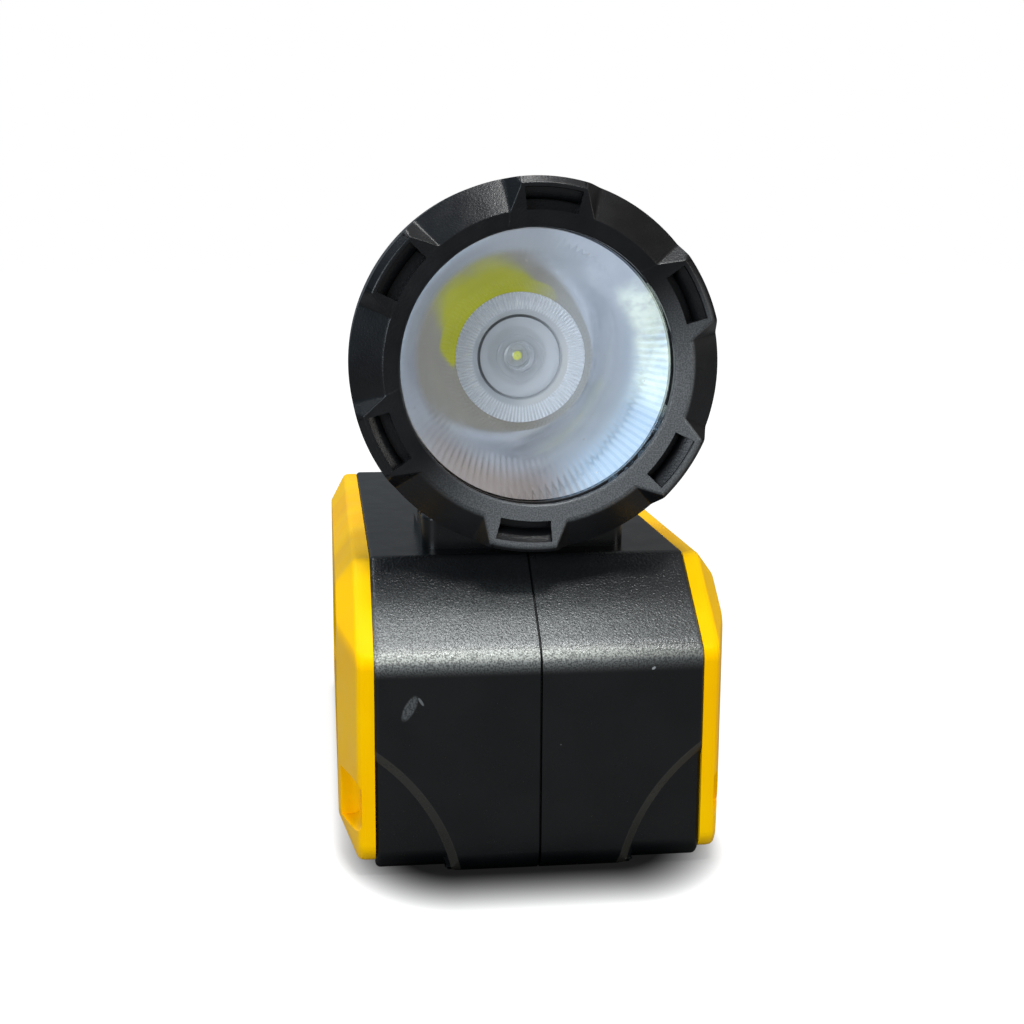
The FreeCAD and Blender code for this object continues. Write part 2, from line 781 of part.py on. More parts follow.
def make_tray():
    """The tray that cradles the cells, with fins that reach the housing's side walls."""
    middle = block("tray_block", ("-tray_half", "-tray_length / 2", "tray_base"),
                   ("tray_half", "tray_length / 2", "tray_top"))
    fins = []
    for index, along in enumerate(("tray_fin - tray_length / 2", "tray_length / 2 - 2 * tray_fin")):
        fins.append(block("tray_fin_%d" % index, ("running_gap - wall_side", along, "tray_base"),
                          ("wall_side - running_gap", "%s + tray_fin" % along, "cell_low + cell_radius")))
    start = "-tray_length / 2 - spare"
    length = "tray_length + 2 * spare"
    bores = [rod("tray_bore_%d" % index, "cell_radius + cell_clearance", length, "y",
                 (across, start, up)) for index, (across, up) in enumerate(CELLS)]
    wire_way = rod("tray_wire_way", "wire_way_radius", length, "y",
                   ("0", start, "(cell_low + cell_high) / 2"))
    return cut("battery_tray", fuse("tray_solid", middle, *fins), wire_way, *bores)


def make_cells():
    """The four cells, each a can with a raised terminal, and the strips that join them."""
    cells = []
    for index, (across, up) in enumerate(CELLS, start=1):
        can = rod("cell_can_%d" % index, "cell_radius", "cell_length", "y",
                  (across, "-cell_length / 2", up))
        nub = rod("cell_nub_%d" % index, "cell_nub_radius", "cell_nub_height", "y",
                  (across, "cell_length / 2", up))
        cells.append(fuse("battery_cell_%d" % index, can, nub))
    strips = []
    for name, start in (("front_strip", "-cell_length / 2 - strip_thickness"),
                        ("rear_strip", "cell_length / 2 + cell_nub_height")):
        strips.append(block(name, ("-cell_pitch / 2 - strip_margin", start, "cell_low - strip_margin"),
                            ("cell_pitch / 2 + strip_margin", "%s + strip_thickness" % start,
                             "cell_high + strip_margin")))
    return cells + [group("cell_strips", *strips)]


def make_board():
    """The control board, which stands on the housing's floor behind the cells."""
    low = "wall_base"
    height = "(wall_top - board_gap - wall_base)"
    plate = block("board_plate", ("-board_half", "board_y", low),
                  ("board_half", "board_y + board_thickness", "%s + %s" % (low, height)))
    chips = []
    for index, (left, bottom, wide, high) in enumerate(CHIPS):
        side = "2 * board_half * %g - board_half"
        rise = low + " + " + height + " * %g"
        chips.append(block("board_chip_%d" % index,
                           (side % left, "board_y + board_thickness / 2", rise % bottom),
                           (side % (left + wide), "board_y + board_thickness + chip_height",
                            rise % (bottom + high))))
    return fuse("control_board", plate, *chips)


# Neck bracket and pivot

def neck_block():
    """The neck's block, rounded at its upright corners and along its top."""
    body = doc.addObject("PartDesign::Body", "neck_block")
    corners = [
        ("-neck_half", "neck_front"),
        ("neck_half", "neck_front"),
        ("neck_half", "neck_rear"),
        ("-neck_half", "neck_rear"),
    ]
    pad(body, "neck_pad", outline(body, "neck_plan", "XY_Plane", corners, "top_height"), "neck_block_height")
    round_edges(body, "neck_round", "neck_corner",
                lambda edge: near(edge.Vertexes[0].X, edge.Vertexes[1].X)
                and near(edge.Vertexes[0].Y, edge.Vertexes[1].Y))
    round_edges(body, "neck_top_round", "neck_edge", lambda edge: lies_at(edge, Z="neck_top"))
    return body


def make_neck_screws():
    """The four neck screws with their holes: two through the block's top, two through its tail."""
    screws = []
    tools = []
    tops = ("neck_top", "top_height + neck_tail_thickness")
    for side, sign in (("right", ""), ("left", "-")):
        for (across, along), top in zip(NECK_SCREWS, tops):
            name = "neck_%s_%d" % (side, len(screws))
            spot = "%s(%s)" % (sign, across)
            seat = "%s - screw_head_height" % top
            tip = "top_height - screw_reach"
            tools.append(rod(name + "_hole", "screw_radius + screw_clearance", "neck_block_height + spare",
                             "z", (spot, along, "top_height - spare / 2")))
            tools.append(rod(name + "_sink", "screw_head_radius + running_gap", "screw_head_height + spare",
                             "z", (spot, along, seat)))
            shank = rod(name + "_shank", "screw_radius", "%s - (%s)" % (seat, tip), "z", (spot, along, tip))
            head = rod(name + "_head", "screw_head_radius", "screw_head_height", "z", (spot, along, seat))
            screws.append(fuse(name + "_screw", shank, head))
    return screws, tools


def make_neck():
    """The neck block with its two ears, the pin through them and the screws that hold it."""
    tail = block("neck_tail", ("-neck_half", "neck_rear - neck_corner", "top_height"),
                 ("neck_half", "neck_rear + neck_tail", "top_height + neck_tail_thickness"))
    barrel = rod("ear_barrel", "ear_radius", "2 * neck_half", "x", ("-neck_half", "pivot_y", "pivot_z"))
    cheek = block("ear_cheek", ("-neck_half", "pivot_y - ear_radius", "top_height"),
                  ("neck_half", "pivot_y + ear_radius", "pivot_z"))
    slot = block("ear_slot",
                 ("-foot_half - running_gap", "pivot_y - ear_radius - spare",
                  "pivot_z - ear_radius - running_gap"),
                 ("foot_half + running_gap", "neck_rear + neck_tail + spare", "pivot_z + ear_radius + spare"))
    bore = rod("ear_bore", "pin_radius + pin_clearance / 2", "2 * (neck_half + spare)", "x",
               ("-neck_half - spare", "pivot_y", "pivot_z"))
    screws, tools = make_neck_screws()
    solid = fuse("neck_solid", neck_block(), tail, barrel, cheek)
    pin = rod("pivot_pin", "pin_radius", "2 * (neck_half - pin_inset)", "x",
              ("pin_inset - neck_half", "pivot_y", "pivot_z"))
    return [cut("neck_bracket", solid, slot, bore, *tools), pin, group("neck_screws", *screws)]


# Lamp head: each round piece is a section with its depth behind the head's front along Y
# and its radius along Z, turned about the lamp's axis

def turned(name, section):
    """A piece turned about the lamp's axis."""
    body = doc.addObject("PartDesign::Body", name)
    sketch = outline(body, name + "_section", "YZ_Plane", section)
    item = body.newObject("PartDesign::Revolution", name + "_turn")
    item.Profile = sketch
    item.ReferenceAxis = (sketch, ["H_Axis"])
    item.Angle = 360
    doc.recompute()
    return on_lamp_axis(body)


def ring_of(name, shape, count):
    """Copies of a shape spaced evenly about the lamp's axis."""
    copies = [shape.copy().rotate(ORIGIN, LAMP_AXIS, size("lug_turn") + index * 360 / count)
              for index in range(count)]
    return on_lamp_axis(fixed_shape(name, Part.makeCompound(copies)))


def flat_outline(half_widths, radii, depth):
    """A closed four-sided wire across the lamp's axis, above it, at a depth."""
    (inner_half, outer_half), (inner, outer) = half_widths, radii
    spots = ((-inner_half, inner), (inner_half, inner), (outer_half, outer), (-outer_half, outer))
    corners = [Vector(across, depth, up) for across, up in spots]
    return Part.makePolygon(corners + corners[:1])


def lug_shape():
    """A lug at the top of the ring, wider behind than in front, before it is trimmed to the ring."""
    inner = size("bezel_flat_radius - lug_root")
    outer = size("bezel_radius + spare")
    lean = size("(lug_outer_half - lug_inner_half) / (lug_face_radius - bezel_flat_radius)")
    flat = size("bezel_flat_radius")
    halves = [size("lug_inner_half") + lean * (radius - flat) for radius in (inner, outer)]
    front = flat_outline(halves, (inner, outer), 0)
    back = flat_outline((halves[0], halves[1] + size("lug_flare")), (inner, outer), size("bezel_slope_depth"))
    return Part.makeLoft([front, back], True, True)


def window_shape():
    """The window in a lug: a shallow ledge on its outer side and a deeper pocket inside."""
    inner, outer = size("window_inner_radius"), size("window_outer_radius")
    inner_half, outer_half = size("window_inner_half"), size("window_outer_half")
    ledge = outer - size("window_ledge_width")
    ledge_half = (inner_half + outer_half) / 2
    proud = size("spare")
    shallow = Part.Face(flat_outline((inner_half, outer_half), (inner, outer), -proud))
    pocket = Part.Face(flat_outline((inner_half, ledge_half), (inner, ledge), -proud))
    shallow = shallow.extrude(LAMP_AXIS * (proud + size("window_ledge_depth")))
    return shallow.fuse(pocket.extrude(LAMP_AXIS * (proud + size("window_depth"))))


def make_bezel():
    """The ring: an inner flat, a slope behind it, and six lugs level with the flat."""
    sloped = turned("bezel_sloped", [
        ("0", "aperture_radius"),
        ("0", "bezel_flat_radius"),
        ("bezel_slope_depth", "bezel_radius"),
        ("bezel_depth", "bezel_radius"),
        ("bezel_depth", "spigot_radius + running_gap"),
        ("reflector_front - running_gap", "spigot_radius + running_gap"),
        ("reflector_front - running_gap", "lens_radius + running_gap"),
        ("bezel_lip", "lens_radius + running_gap"),
        ("bezel_lip", "aperture_radius"),
    ])
    envelope = turned("lug_envelope", [
        ("0", "aperture_radius"),
        ("0", "lug_face_radius"),
        ("lug_chamfer_depth", "bezel_radius"),
        ("bezel_slope_depth", "bezel_radius"),
        ("bezel_slope_depth", "bezel_radius - bezel_lip"),
        ("bezel_lip / 2", "aperture_radius"),
    ])
    count = int(size("lug_count"))
    lugs = common("shaped_lugs", ring_of("lug_ring", lug_shape(), count), envelope)
    windows = ring_of("window_ring", window_shape(), count)
    return cut("bezel_ring", fuse("bezel_solid", sloped, lugs), windows)


def reflector_curve(extra):
    """The parabola that throws the emitter's light forwards, moved outwards by an amount."""
    start = size("reflector_front")
    depth = size("reflector_depth")
    mouth = size("reflector_mouth")
    spread = (mouth ** 2 - size("reflector_throat") ** 2) / depth
    vertex = start + mouth ** 2 / spread
    steps = 6
    points = [Vector(0, start + depth * step / steps, 0) for step in range(steps + 1)]
    for point in points:
        point.z = math.sqrt(spread * (vertex - point.y)) + extra
    curve = Part.BSplineCurve()
    curve.interpolate(points)
    return curve.toShape(), points[0], points[-1]


def make_reflector():
    """A thin parabolic cup, open at the throat, with a flange that seats on the shell's spigot."""
    start = size("reflector_front")
    wall = size("reflector_wall")
    inner, inner_front, inner_back = reflector_curve(0)
    outer, outer_front, outer_back = reflector_curve(wall)
    back = Part.makeLine(inner_back, outer_back)
    front = Part.makeLine(outer_front, inner_front)
    section = Part.Face(Part.Wire([inner, back, outer, front]))
    cup = section.revolve(ORIGIN, LAMP_AXIS, 360)
    spot = Vector(0, start, 0)
    flange = Part.makeCylinder(size("reflector_flange_radius"), wall, spot, LAMP_AXIS)
    flange = flange.cut(Part.makeCylinder(size("reflector_mouth") + wall / 2, wall, spot, LAMP_AXIS))
    return on_lamp_axis(fixed_shape("reflector", cup.fuse(flange).removeSplitter()))


def make_optic():
    """A clear collimator: a fluted ring, a flat centre, a tapered body and a well over the emitter."""
    solid = turned("optic_turned", [
        ("optic_front + optic_disc_dip", "0"),
        ("optic_front + optic_disc_dip", "optic_disc_radius"),
        ("optic_front", "optic_disc_radius + optic_disc_dip"),
        ("optic_front", "optic_radius - optic_draft"),
        ("optic_front + optic_rim", "optic_radius"),
        ("optic_front + optic_rim", "optic_radius - 2 * optic_draft"),
        ("board_front", "optic_foot_radius"),
        ("board_front", "optic_well_radius + optic_draft"),
        ("board_front - optic_well_depth", "optic_well_radius"),
        ("board_front - optic_well_depth", "0"),
    ])
    count = int(size("optic_flutes"))
    deep = size("optic_flute_depth")
    front = size("optic_front")
    start = size("optic_disc_radius + 2 * optic_disc_dip")
    half = math.pi * start / count * 0.8
    spots = ((-half, front - deep), (half, front - deep), (0, front + deep), (-half, front - deep))
    flute = Part.Face(Part.makePolygon([Vector(across, along, start) for across, along in spots]))
    flutes = ring_of("optic_flute_ring", flute.extrude(Vector(0, 0, size("optic_radius"))), count)
    return cut("centre_optic", solid, flutes)


def make_emitter():
    """The small square package on the board, with its dome."""
    half = "emitter_size / 2"
    face = "head_front + board_front - emitter_height"
    base = block("emitter_base", ("-" + half, face, "head_axis_height - " + half),
                 (half, "head_front + board_front", "head_axis_height + " + half))
    dome = aim(doc.addObject("Part::Sphere", "emitter_dome"), "-y")
    dome.Angle1 = 0
    place(bind(dome, Radius="emitter_dome_radius"), ("0", face, "head_axis_height"))
    return fuse("led_emitter", base, dome)


def cooling_grooves():
    """Shallow grooves round the head's barrel that leave ribs between them."""
    tools = []
    for index in range(int(size("rib_count"))):
        depth = "flange_front + flange_length + rib_start + %d * rib_pitch" % index
        spot = ("0", "head_front + " + depth, "head_axis_height")
        ring = rod("rib_ring_%d" % index, "barrel_radius + spare", "rib_groove", "y", spot)
        core = rod("rib_core_%d" % index,
                   "barrel_radius - (%s + rib_groove / 2 - barrel_start) * barrel_slope - rib_depth" % depth,
                   "rib_groove", "y", spot)
        tools.append(cut("rib_groove_%d" % index, ring, core))
    return tools


def make_head_shell():
    """The head's rear shell: spigot, flange, ribbed barrel and the foot that the pin passes."""
    flange_rear = "flange_front + flange_length"
    bore = [
        ("shell_floor", "sink_bore"),
        ("sink_front - spare / 2", "sink_bore"),
        ("sink_front - flange_taper", "barrel_inner_rear"),
        (flange_rear + " + flange_taper", "barrel_radius - head_wall"),
        ("flange_front", "spigot_bore"),
    ]
    shell = turned("shell_turned", [
        ("spigot_front", "spigot_bore"),
        ("spigot_front", "spigot_radius"),
        ("flange_front", "spigot_radius"),
        ("flange_front", "flange_radius - flange_chamfer"),
        ("flange_front + flange_chamfer", "flange_radius"),
        (flange_rear + " - flange_chamfer", "flange_radius"),
        (flange_rear, "flange_radius - flange_chamfer"),
        ("barrel_start", "barrel_radius"),
        ("barrel_end", "barrel_rear_radius"),
        ("head_depth - spare", "head_rear_radius + barrel_round"),
        ("head_depth", "head_rear_radius"),
        ("head_depth", "button_radius + running_gap"),
        ("shell_floor", "button_radius + running_gap"),
    ] + bore)
    ribbed = cut("shell_ribbed", shell, *cooling_grooves())
    knuckle = rod("foot_knuckle", "ear_radius - running_gap", "2 * foot_half", "x",
                  ("-foot_half", "pivot_y", "pivot_z"))
    web = block("foot_web", ("-foot_half", "pivot_y - ear_radius + running_gap", "pivot_z"),
                ("foot_half", "pivot_y + ear_radius - running_gap",
                 "head_axis_height - barrel_at_pivot + ear_radius"))
    hollow = turned("shell_hollow", [("spigot_front", "0")] + [("spigot_front", "spigot_bore")]
                    + bore[::-1] + [("shell_floor", "0")])
    foot = cut("shell_foot", fuse("foot_solid", knuckle, web), hollow)
    pin_bore = rod("foot_bore", "pin_radius + pin_clearance", "2 * (foot_half + spare)", "x",
                   ("-foot_half - spare", "pivot_y", "pivot_z"))
    return cut("head_shell", fuse("shell_solid", ribbed, foot), pin_bore)


def make_button():
    """The push button in the head's rear wall, with the flange that keeps it in."""
    flange_front = "shell_floor - running_gap - button_flange"
    top = "head_depth + button_proud"
    return turned("power_button", [
        (flange_front, "0"),
        (flange_front, "button_flange_radius"),
        ("shell_floor - running_gap", "button_flange_radius"),
        ("shell_floor - running_gap", "button_radius"),
        (top + " - button_round", "button_radius"),
        (top, "button_radius - button_round"),
        (top + " - button_dish", "button_radius - 2 * button_round"),
        (top + " - button_dish", "0"),
    ])


def make_head():
    """All the pieces of the lamp head."""
    lens = turned("front_lens", [
        ("lens_front", "0"),
        ("lens_front", "lens_radius - lens_chamfer"),
        ("lens_front + lens_chamfer", "lens_radius"),
        ("lens_back", "lens_radius"),
        ("lens_back", "0"),
    ])
    seal = turned("lens_seal", [
        ("lens_back", "lens_radius"),
        ("reflector_front", "lens_radius"),
        ("reflector_front", "lens_radius - seal_width"),
        ("lens_back", "lens_radius - seal_width"),
    ])
    board = turned("led_board", [
        ("board_front", "0"),
        ("board_front", "led_board_radius"),
        ("sink_front", "led_board_radius"),
        ("sink_front", "0"),
    ])
    sink = turned("heat_sink", [
        ("sink_front", "0"),
        ("sink_front", "sink_radius"),
        ("shell_floor", "sink_radius"),
        ("shell_floor", "sink_radius - sink_wall"),
        ("sink_front + sink_plate", "sink_radius - sink_wall"),
        ("sink_front + sink_plate", "0"),
    ])
    switch_end = "shell_floor - running_gap - button_flange - button_travel"
    module = turned("switch_module", [
        ("sink_front + sink_plate", "0"),
        ("sink_front + sink_plate", "switch_radius"),
        (switch_end, "switch_radius"),
        (switch_end, "0"),
    ])
    return [make_bezel(), lens, seal, make_reflector(), make_optic(), make_emitter(), board, sink, module,
            make_button(), make_head_shell()]


# Back of the housing: charging socket, its cover and the cap hook

def make_socket():
    """The charging socket, a round barrel through the housing's back wall with a pin in its bore."""
    def part(name, radius, length, start):
        return rod(name, radius, length, "y", ("socket_across", start, "socket_height"))
    barrel = part("socket_barrel", "socket_radius", "socket_length", "socket_front")
    rim = part("socket_rim_ring", "socket_rim_radius", "socket_rim", "rear_face")
    nut = part("socket_nut_ring", "socket_rim_radius", "socket_nut", "wall_rear - socket_nut")
    mouth = "rear_face + socket_rim"
    bore = part("socket_bore_tool", "socket_bore", "socket_bore_depth + spare",
                mouth + " - socket_bore_depth")
    contact = part("socket_contact", "socket_pin_radius", "socket_bore_depth - 2 * spare",
                   mouth + " - socket_bore_depth - spare / 2")
    return fuse("charge_socket", cut("socket_shell", fuse("socket_solid", barrel, rim, nut), bore), contact)


def cover_flap():
    """The cover's flap, rounded at its lower corners, with its upper corners cleared for the lugs."""
    body = doc.addObject("PartDesign::Body", "cover_flap")
    corners = [
        ("cover_left", "cover_low"),
        ("cover_right", "cover_low"),
        ("cover_right", "hinge_z"),
        ("cover_left", "hinge_z"),
    ]
    sketch = outline(body, "cover_face", "XZ_Plane", corners, "-cover_inner")
    pad(body, "cover_pad", sketch, "cover_thickness", True)
    round_edges(body, "cover_round", "cover_half / 2",
                lambda edge: lies_at(edge, Z="cover_low") and near(edge.Vertexes[0].X, edge.Vertexes[1].X))
    gaps = []
    for index, side in enumerate(("cover_left", "cover_right - cover_half / 2 - running_gap")):
        gaps.append(block("cover_gap_%d" % index,
                          (side, "rear_face", "hinge_z - hinge_radius - 2 * running_gap"),
                          ("%s + cover_half / 2 + running_gap" % side, "hinge_y + 2 * cover_thickness",
                           "hinge_z + spare")))
    return cut("cover_flap_trimmed", body, *gaps)


def make_cover():
    """A cover that hangs from a pin above the socket, between two lugs on the housing."""
    middle = "socket_across - cover_half / 2"
    barrel = rod("cover_barrel", "hinge_radius", "cover_half", "x", (middle, "hinge_y", "hinge_z"))
    tab = block("cover_tab_block", (middle, "cover_inner", "cover_low"),
                (middle + " + cover_half", "cover_inner + cover_thickness + cover_tab",
                 "cover_low + cover_tab_height"))
    plug_tip = "rear_face + socket_rim - cover_plug_reach"
    plug = rod("cover_plug", "cover_plug_radius", "cover_inner + cover_thickness / 2 - (%s)" % plug_tip, "y",
               ("socket_across", plug_tip, "socket_height"))
    bore = rod("cover_bore", "hinge_pin_radius + hinge_pin_clearance", "2 * (cover_half + spare)", "x",
               ("cover_left - spare", "hinge_y", "hinge_z"))
    cover = cut("port_cover", fuse("cover_solid", cover_flap(), barrel, tab, plug), bore)
    pin = rod("cover_pin", "hinge_pin_radius", "2 * (cover_half - running_gap)", "x",
              ("cover_left + running_gap", "hinge_y", "hinge_z"))
    lugs = []
    for index, side in enumerate(("cover_left", "cover_right - cover_half / 2 + running_gap")):
        width = "cover_half / 2 - running_gap"
        lugs.append(block("hinge_lug_%d" % index, (side, "rear_face", "hinge_z - hinge_radius"),
                          ("%s + %s" % (side, width), "hinge_y", "hinge_z + hinge_radius")))
        lugs.append(rod("hinge_nose_%d" % index, "hinge_radius", width, "x", (side, "hinge_y", "hinge_z")))
    foot = block("hinge_foot_bar", ("cover_left", "rear_face", "hinge_z + hinge_radius"),
                 ("cover_right", "rear_face + hinge_foot", "hinge_z + hinge_radius + hinge_foot"))
    lug_bore = rod("hinge_lug_bore", "hinge_pin_radius + hinge_pin_clearance / 2",
                   "2 * (cover_half + spare)", "x", ("cover_left - spare", "hinge_y", "hinge_z"))
    return [cover, pin, cut("cover_bracket", fuse("hinge_lugs", foot, *lugs), lug_bore)]


def make_hook():
    """A spring-steel strip that stands off the back of the housing and slides into a cap bracket."""
    body = doc.addObject("PartDesign::Body", "hook_strip")
    corners = [
        ("rear_face", "hook_top"),
        ("rear_face", "hook_top - hook_foot"),
        ("rear_face + hook_thickness", "hook_top - hook_foot"),
        ("rear_face + hook_thickness", "hook_top - hook_thickness"),
        ("hook_inner", "hook_top - hook_thickness"),
        ("hook_inner", "hook_low + hook_lead"),
        ("hook_inner + hook_flare", "hook_low"),
        ("hook_outer + hook_flare", "hook_low"),
        ("hook_outer", "hook_low + hook_lead"),
        ("hook_outer", "hook_top"),
    ]
    pad(body, "hook_pad", outline(body, "hook_side", "YZ_Plane", corners, "-hook_half"), "2 * hook_half")
    round_edges(body, "hook_bend_round", "hook_bend",
                lambda edge: lies_at(edge, Y="hook_outer", Z="hook_top"))
    holes = []
    screws = []
    for side, sign in (("right", ""), ("left", "-")):
        def part(name, radius, length, start):
            return rod("hook_%s_%s" % (side, name), radius, length, "y",
                       (sign + "hook_screw_across", start, HOOK_SCREW_HEIGHT))
        holes.append(part("hole", "screw_radius + screw_clearance", "hook_thickness + spare",
                          "rear_face - spare / 2"))
        holes.append(part("reach", "screw_head_radius + running_gap", "hook_thickness + 2 * spare",
                          "hook_inner - spare"))
        shank = part("shank", "screw_radius", "hook_thickness + screw_reach", "rear_face - screw_reach")
        head = part("head", "screw_head_radius", "screw_head_height", "rear_face + hook_thickness")
        screws.append(fuse("hook_screw_" + side, shank, head))
    return [cut("cap_hook", body, *holes), group("hook_screws", *screws)]


def check(pieces):
    """Stop if anything in the document failed, or a piece is empty or broken."""
    for item in doc.Objects:
        if {"Invalid", "Error"} & set(item.State):
            raise RuntimeError("%s failed: %s" % (item.Name, item.State))
    for piece in pieces:
        if piece.Shape.isNull() or not piece.Shape.isValid() or not piece.Shape.Solids:
            raise RuntimeError("%s has no good shape" % piece.Label)


def main():
    """Build every piece and write each one under its own name."""
    pieces = make_housing() + make_bumpers() + [make_tray()] + make_cells() + [make_board()]
    pieces += make_neck() + make_head() + [make_socket()] + make_cover() + make_hook()
    doc.recompute()
    check(pieces)
    os.makedirs("parts", exist_ok=True)
    for piece in pieces:
        piece.Shape.exportStep("parts/%s.step" % piece.Label)
        print("%-16s %2d solid(s) %10.1f mm3" % (piece.Label, len(piece.Shape.Solids), piece.Shape.Volume))


main()
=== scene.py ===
import json
import math

import bpy
import numpy as np
from mathutils import Matrix, Vector


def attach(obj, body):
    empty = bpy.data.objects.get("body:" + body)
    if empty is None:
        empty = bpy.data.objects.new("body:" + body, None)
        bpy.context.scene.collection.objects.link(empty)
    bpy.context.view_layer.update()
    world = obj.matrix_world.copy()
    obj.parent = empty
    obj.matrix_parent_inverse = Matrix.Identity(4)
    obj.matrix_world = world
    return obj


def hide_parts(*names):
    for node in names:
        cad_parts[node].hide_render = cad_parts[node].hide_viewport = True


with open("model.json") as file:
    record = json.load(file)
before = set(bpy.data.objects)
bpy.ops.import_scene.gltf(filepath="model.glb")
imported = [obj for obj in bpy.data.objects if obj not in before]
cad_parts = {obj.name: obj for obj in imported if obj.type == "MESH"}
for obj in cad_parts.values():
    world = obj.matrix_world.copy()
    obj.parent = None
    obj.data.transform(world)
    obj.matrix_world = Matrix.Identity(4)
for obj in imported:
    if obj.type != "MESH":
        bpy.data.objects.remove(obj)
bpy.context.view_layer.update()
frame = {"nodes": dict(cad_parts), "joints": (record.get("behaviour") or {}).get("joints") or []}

# The ring turns about the lamp's axis, which lies along Y, and its joint stands at the head's front.
# The head's pieces are drawn in millimetres, with depths behind that front
MM = 0.001
ring_joint = next(joint for joint in frame["joints"] if joint["name"] == "bezel_turn")
HEAD_FRONT = ring_joint["pos_m"][1] / MM
AXIS_HEIGHT = ring_joint["pos_m"][2] / MM

# The ribs round the reflector, and as many round the optic
RIBS = 108

# The housing in metres: its front face, the slope's lower crease, and the chamfered side edge of the
# raised shield, an arc whose centre is given across and up, the same on both halves
HOUSING_FRONT = -0.07
LOWER_CREASE = 0.0448
SHIELD_CENTRE = (0.0572, -0.0079, 0.0)
SHIELD_RADIUS = 0.0425
SHIELD_CHAMFER = 0.0018

# Directions across and up from the lamp's axis
RIGHT = (1.0, 0.0, 0.0)
UPPER_LEFT = (-0.82, 0.57, 0.0)

BLACK = (0, 0, 0, 1)
WHITE = (1, 1, 1, 1)


# Node trees

class Shade:
    """A new material or world whose nodes are made and wired with short calls."""

    def __init__(self, name, kind="Material"):
        self.block = getattr(bpy.data, kind.lower() + "s").new(name)
        self.block.use_nodes = True
        self.tree = self.block.node_tree
        self.tree.nodes.clear()
        self.output = self.tree.nodes.new("ShaderNodeOutput" + kind)
        self.place = self.node("TexCoord").outputs["Object" if kind == "Material" else "Generated"]

    def node(self, kind, settings=None, **sockets):
        """A node of a kind, with its settings, and each socket given a value or a link."""
        node = self.tree.nodes.new("ShaderNode" + kind)
        for key, value in (settings or {}).items():
            setattr(node, key, value)
        for key, value in sockets.items():
            self.feed(node.inputs[int(key[1:]) if key[0] == "_" else key.replace("_", " ")], value)
        return node

    def feed(self, socket, value):
        """Give a socket a value, or link an output to it."""
        if isinstance(value, bpy.types.NodeSocket):
            self.tree.links.new(value, socket)
        else:
            socket.default_value = value

    def math(self, operation, first, second=0.0, third=0.0):
        """A Math node's result."""
        return self.node("Math", {"operation": operation}, _0=first, _1=second, _2=third).outputs[0]

    def product(self, first, *others):
        """The product of values."""
        for other in others:
            first = self.math("MULTIPLY", first, other)
        return first

    def step(self, value, low, high, start=0.0, end=1.0):
        """A smooth step from a start to an end as a value goes from one limit to the other."""
        node = self.node("MapRange", {"interpolation_type": "SMOOTHSTEP"}, Value=value, From_Min=low,
                         From_Max=high, To_Min=start, To_Max=end)
        return node.outputs[0]

    def noise(self, scale, detail=2.0, roughness=0.5, stretch=(1, 1, 1)):
        """Noise in object space, with its scale in waves to the metre."""
        mapping = self.node("Mapping", Vector=self.place, Scale=stretch)
        node = self.node("TexNoise", Vector=mapping.outputs[0], Scale=scale, Detail=detail,
                         Roughness=roughness)
        return node.outputs["Fac"]

    def specks(self, scale, size, share):
        """Small round specks scattered in object space: 1 inside, for a share of the cells."""
        cells = self.node("TexVoronoi", Vector=self.place, Scale=scale)
        dot = self.step(cells.outputs["Distance"], size, size * 0.6)
        pick = self.node("SeparateColor", Color=cells.outputs["Color"]).outputs[0]
        return self.product(dot, self.math("LESS_THAN", pick, share))

    def axis(self, name):
        """One coordinate of the place, in metres."""
        return self.node("SeparateXYZ", Vector=self.place).outputs[name]

    def depth(self, low, high):
        """A smooth step between two depths behind the head's front, in millimetres."""
        return self.step(self.axis("Y"), (HEAD_FRONT + low) * MM, (HEAD_FRONT + high) * MM)

    def pair(self, first, second):
        """A vector of two values."""
        return self.node("CombineXYZ", _0=first, _1=second).outputs[0]

    def distance(self, spot, centre=(0, 0, 0)):
        """How far a spot lies from a centre."""
        return self.node("VectorMath", {"operation": "DISTANCE"}, _0=spot, _1=centre).outputs["Value"]

    def about_axis(self):
        """The place across and up from the lamp's axis, in metres."""
        return self.axis("X"), self.math("SUBTRACT", self.axis("Z"), AXIS_HEIGHT * MM)

    def spoke(self):
        """The direction from the lamp's axis to the place, across and up."""
        spot = self.pair(*self.about_axis())
        return self.node("VectorMath", {"operation": "NORMALIZE"}, _0=spot).outputs["Vector"]

    def towards(self, vector, direction, low, high, start=0.0, end=1.0):
        """A smooth step of how far a vector reaches in a direction."""
        dot = self.node("VectorMath", {"operation": "DOT_PRODUCT"}, _0=vector, _1=direction)
        return self.step(dot.outputs["Value"], low, high, start, end)

    def ribs(self):
        """A wave that runs round the lamp's axis, from -1 to 1 and back for each rib."""
        turn = self.math("ARCTAN2", *self.about_axis())
        return self.math("SINE", self.product(turn, RIBS))

    def ellipse(self, across, up, middle, half, lean):
        """1 inside an ellipse, fading at its edge, from its middle, half sizes and lean in degrees."""
        turn = (math.cos(math.radians(lean)), math.sin(math.radians(lean)))
        across = self.math("SUBTRACT", across, middle[0])
        up = self.math("SUBTRACT", up, middle[1])
        long = self.math("ADD", self.product(across, turn[0] / half[0]),
                         self.product(up, turn[1] / half[0]))
        wide = self.math("ADD", self.product(across, -turn[1] / half[1]),
                         self.product(up, turn[0] / half[1]))
        return self.step(self.distance(self.pair(long, wide)), 1.0, 0.7)

    def mix(self, factor, first, second):
        """A mix of two colours."""
        node = self.node("Mix", {"data_type": "RGBA"}, Factor=factor)
        self.feed(node.inputs[6], first)
        self.feed(node.inputs[7], second)
        return node.outputs[2]

    def bump(self, height, distance, under=None):
        """A bump from a height, in metres of depth, on top of another."""
        node = self.node("Bump", Height=height, Strength=1.0, Distance=distance)
        if under is not None:
            self.feed(node.inputs["Normal"], under)
        return node.outputs[0]

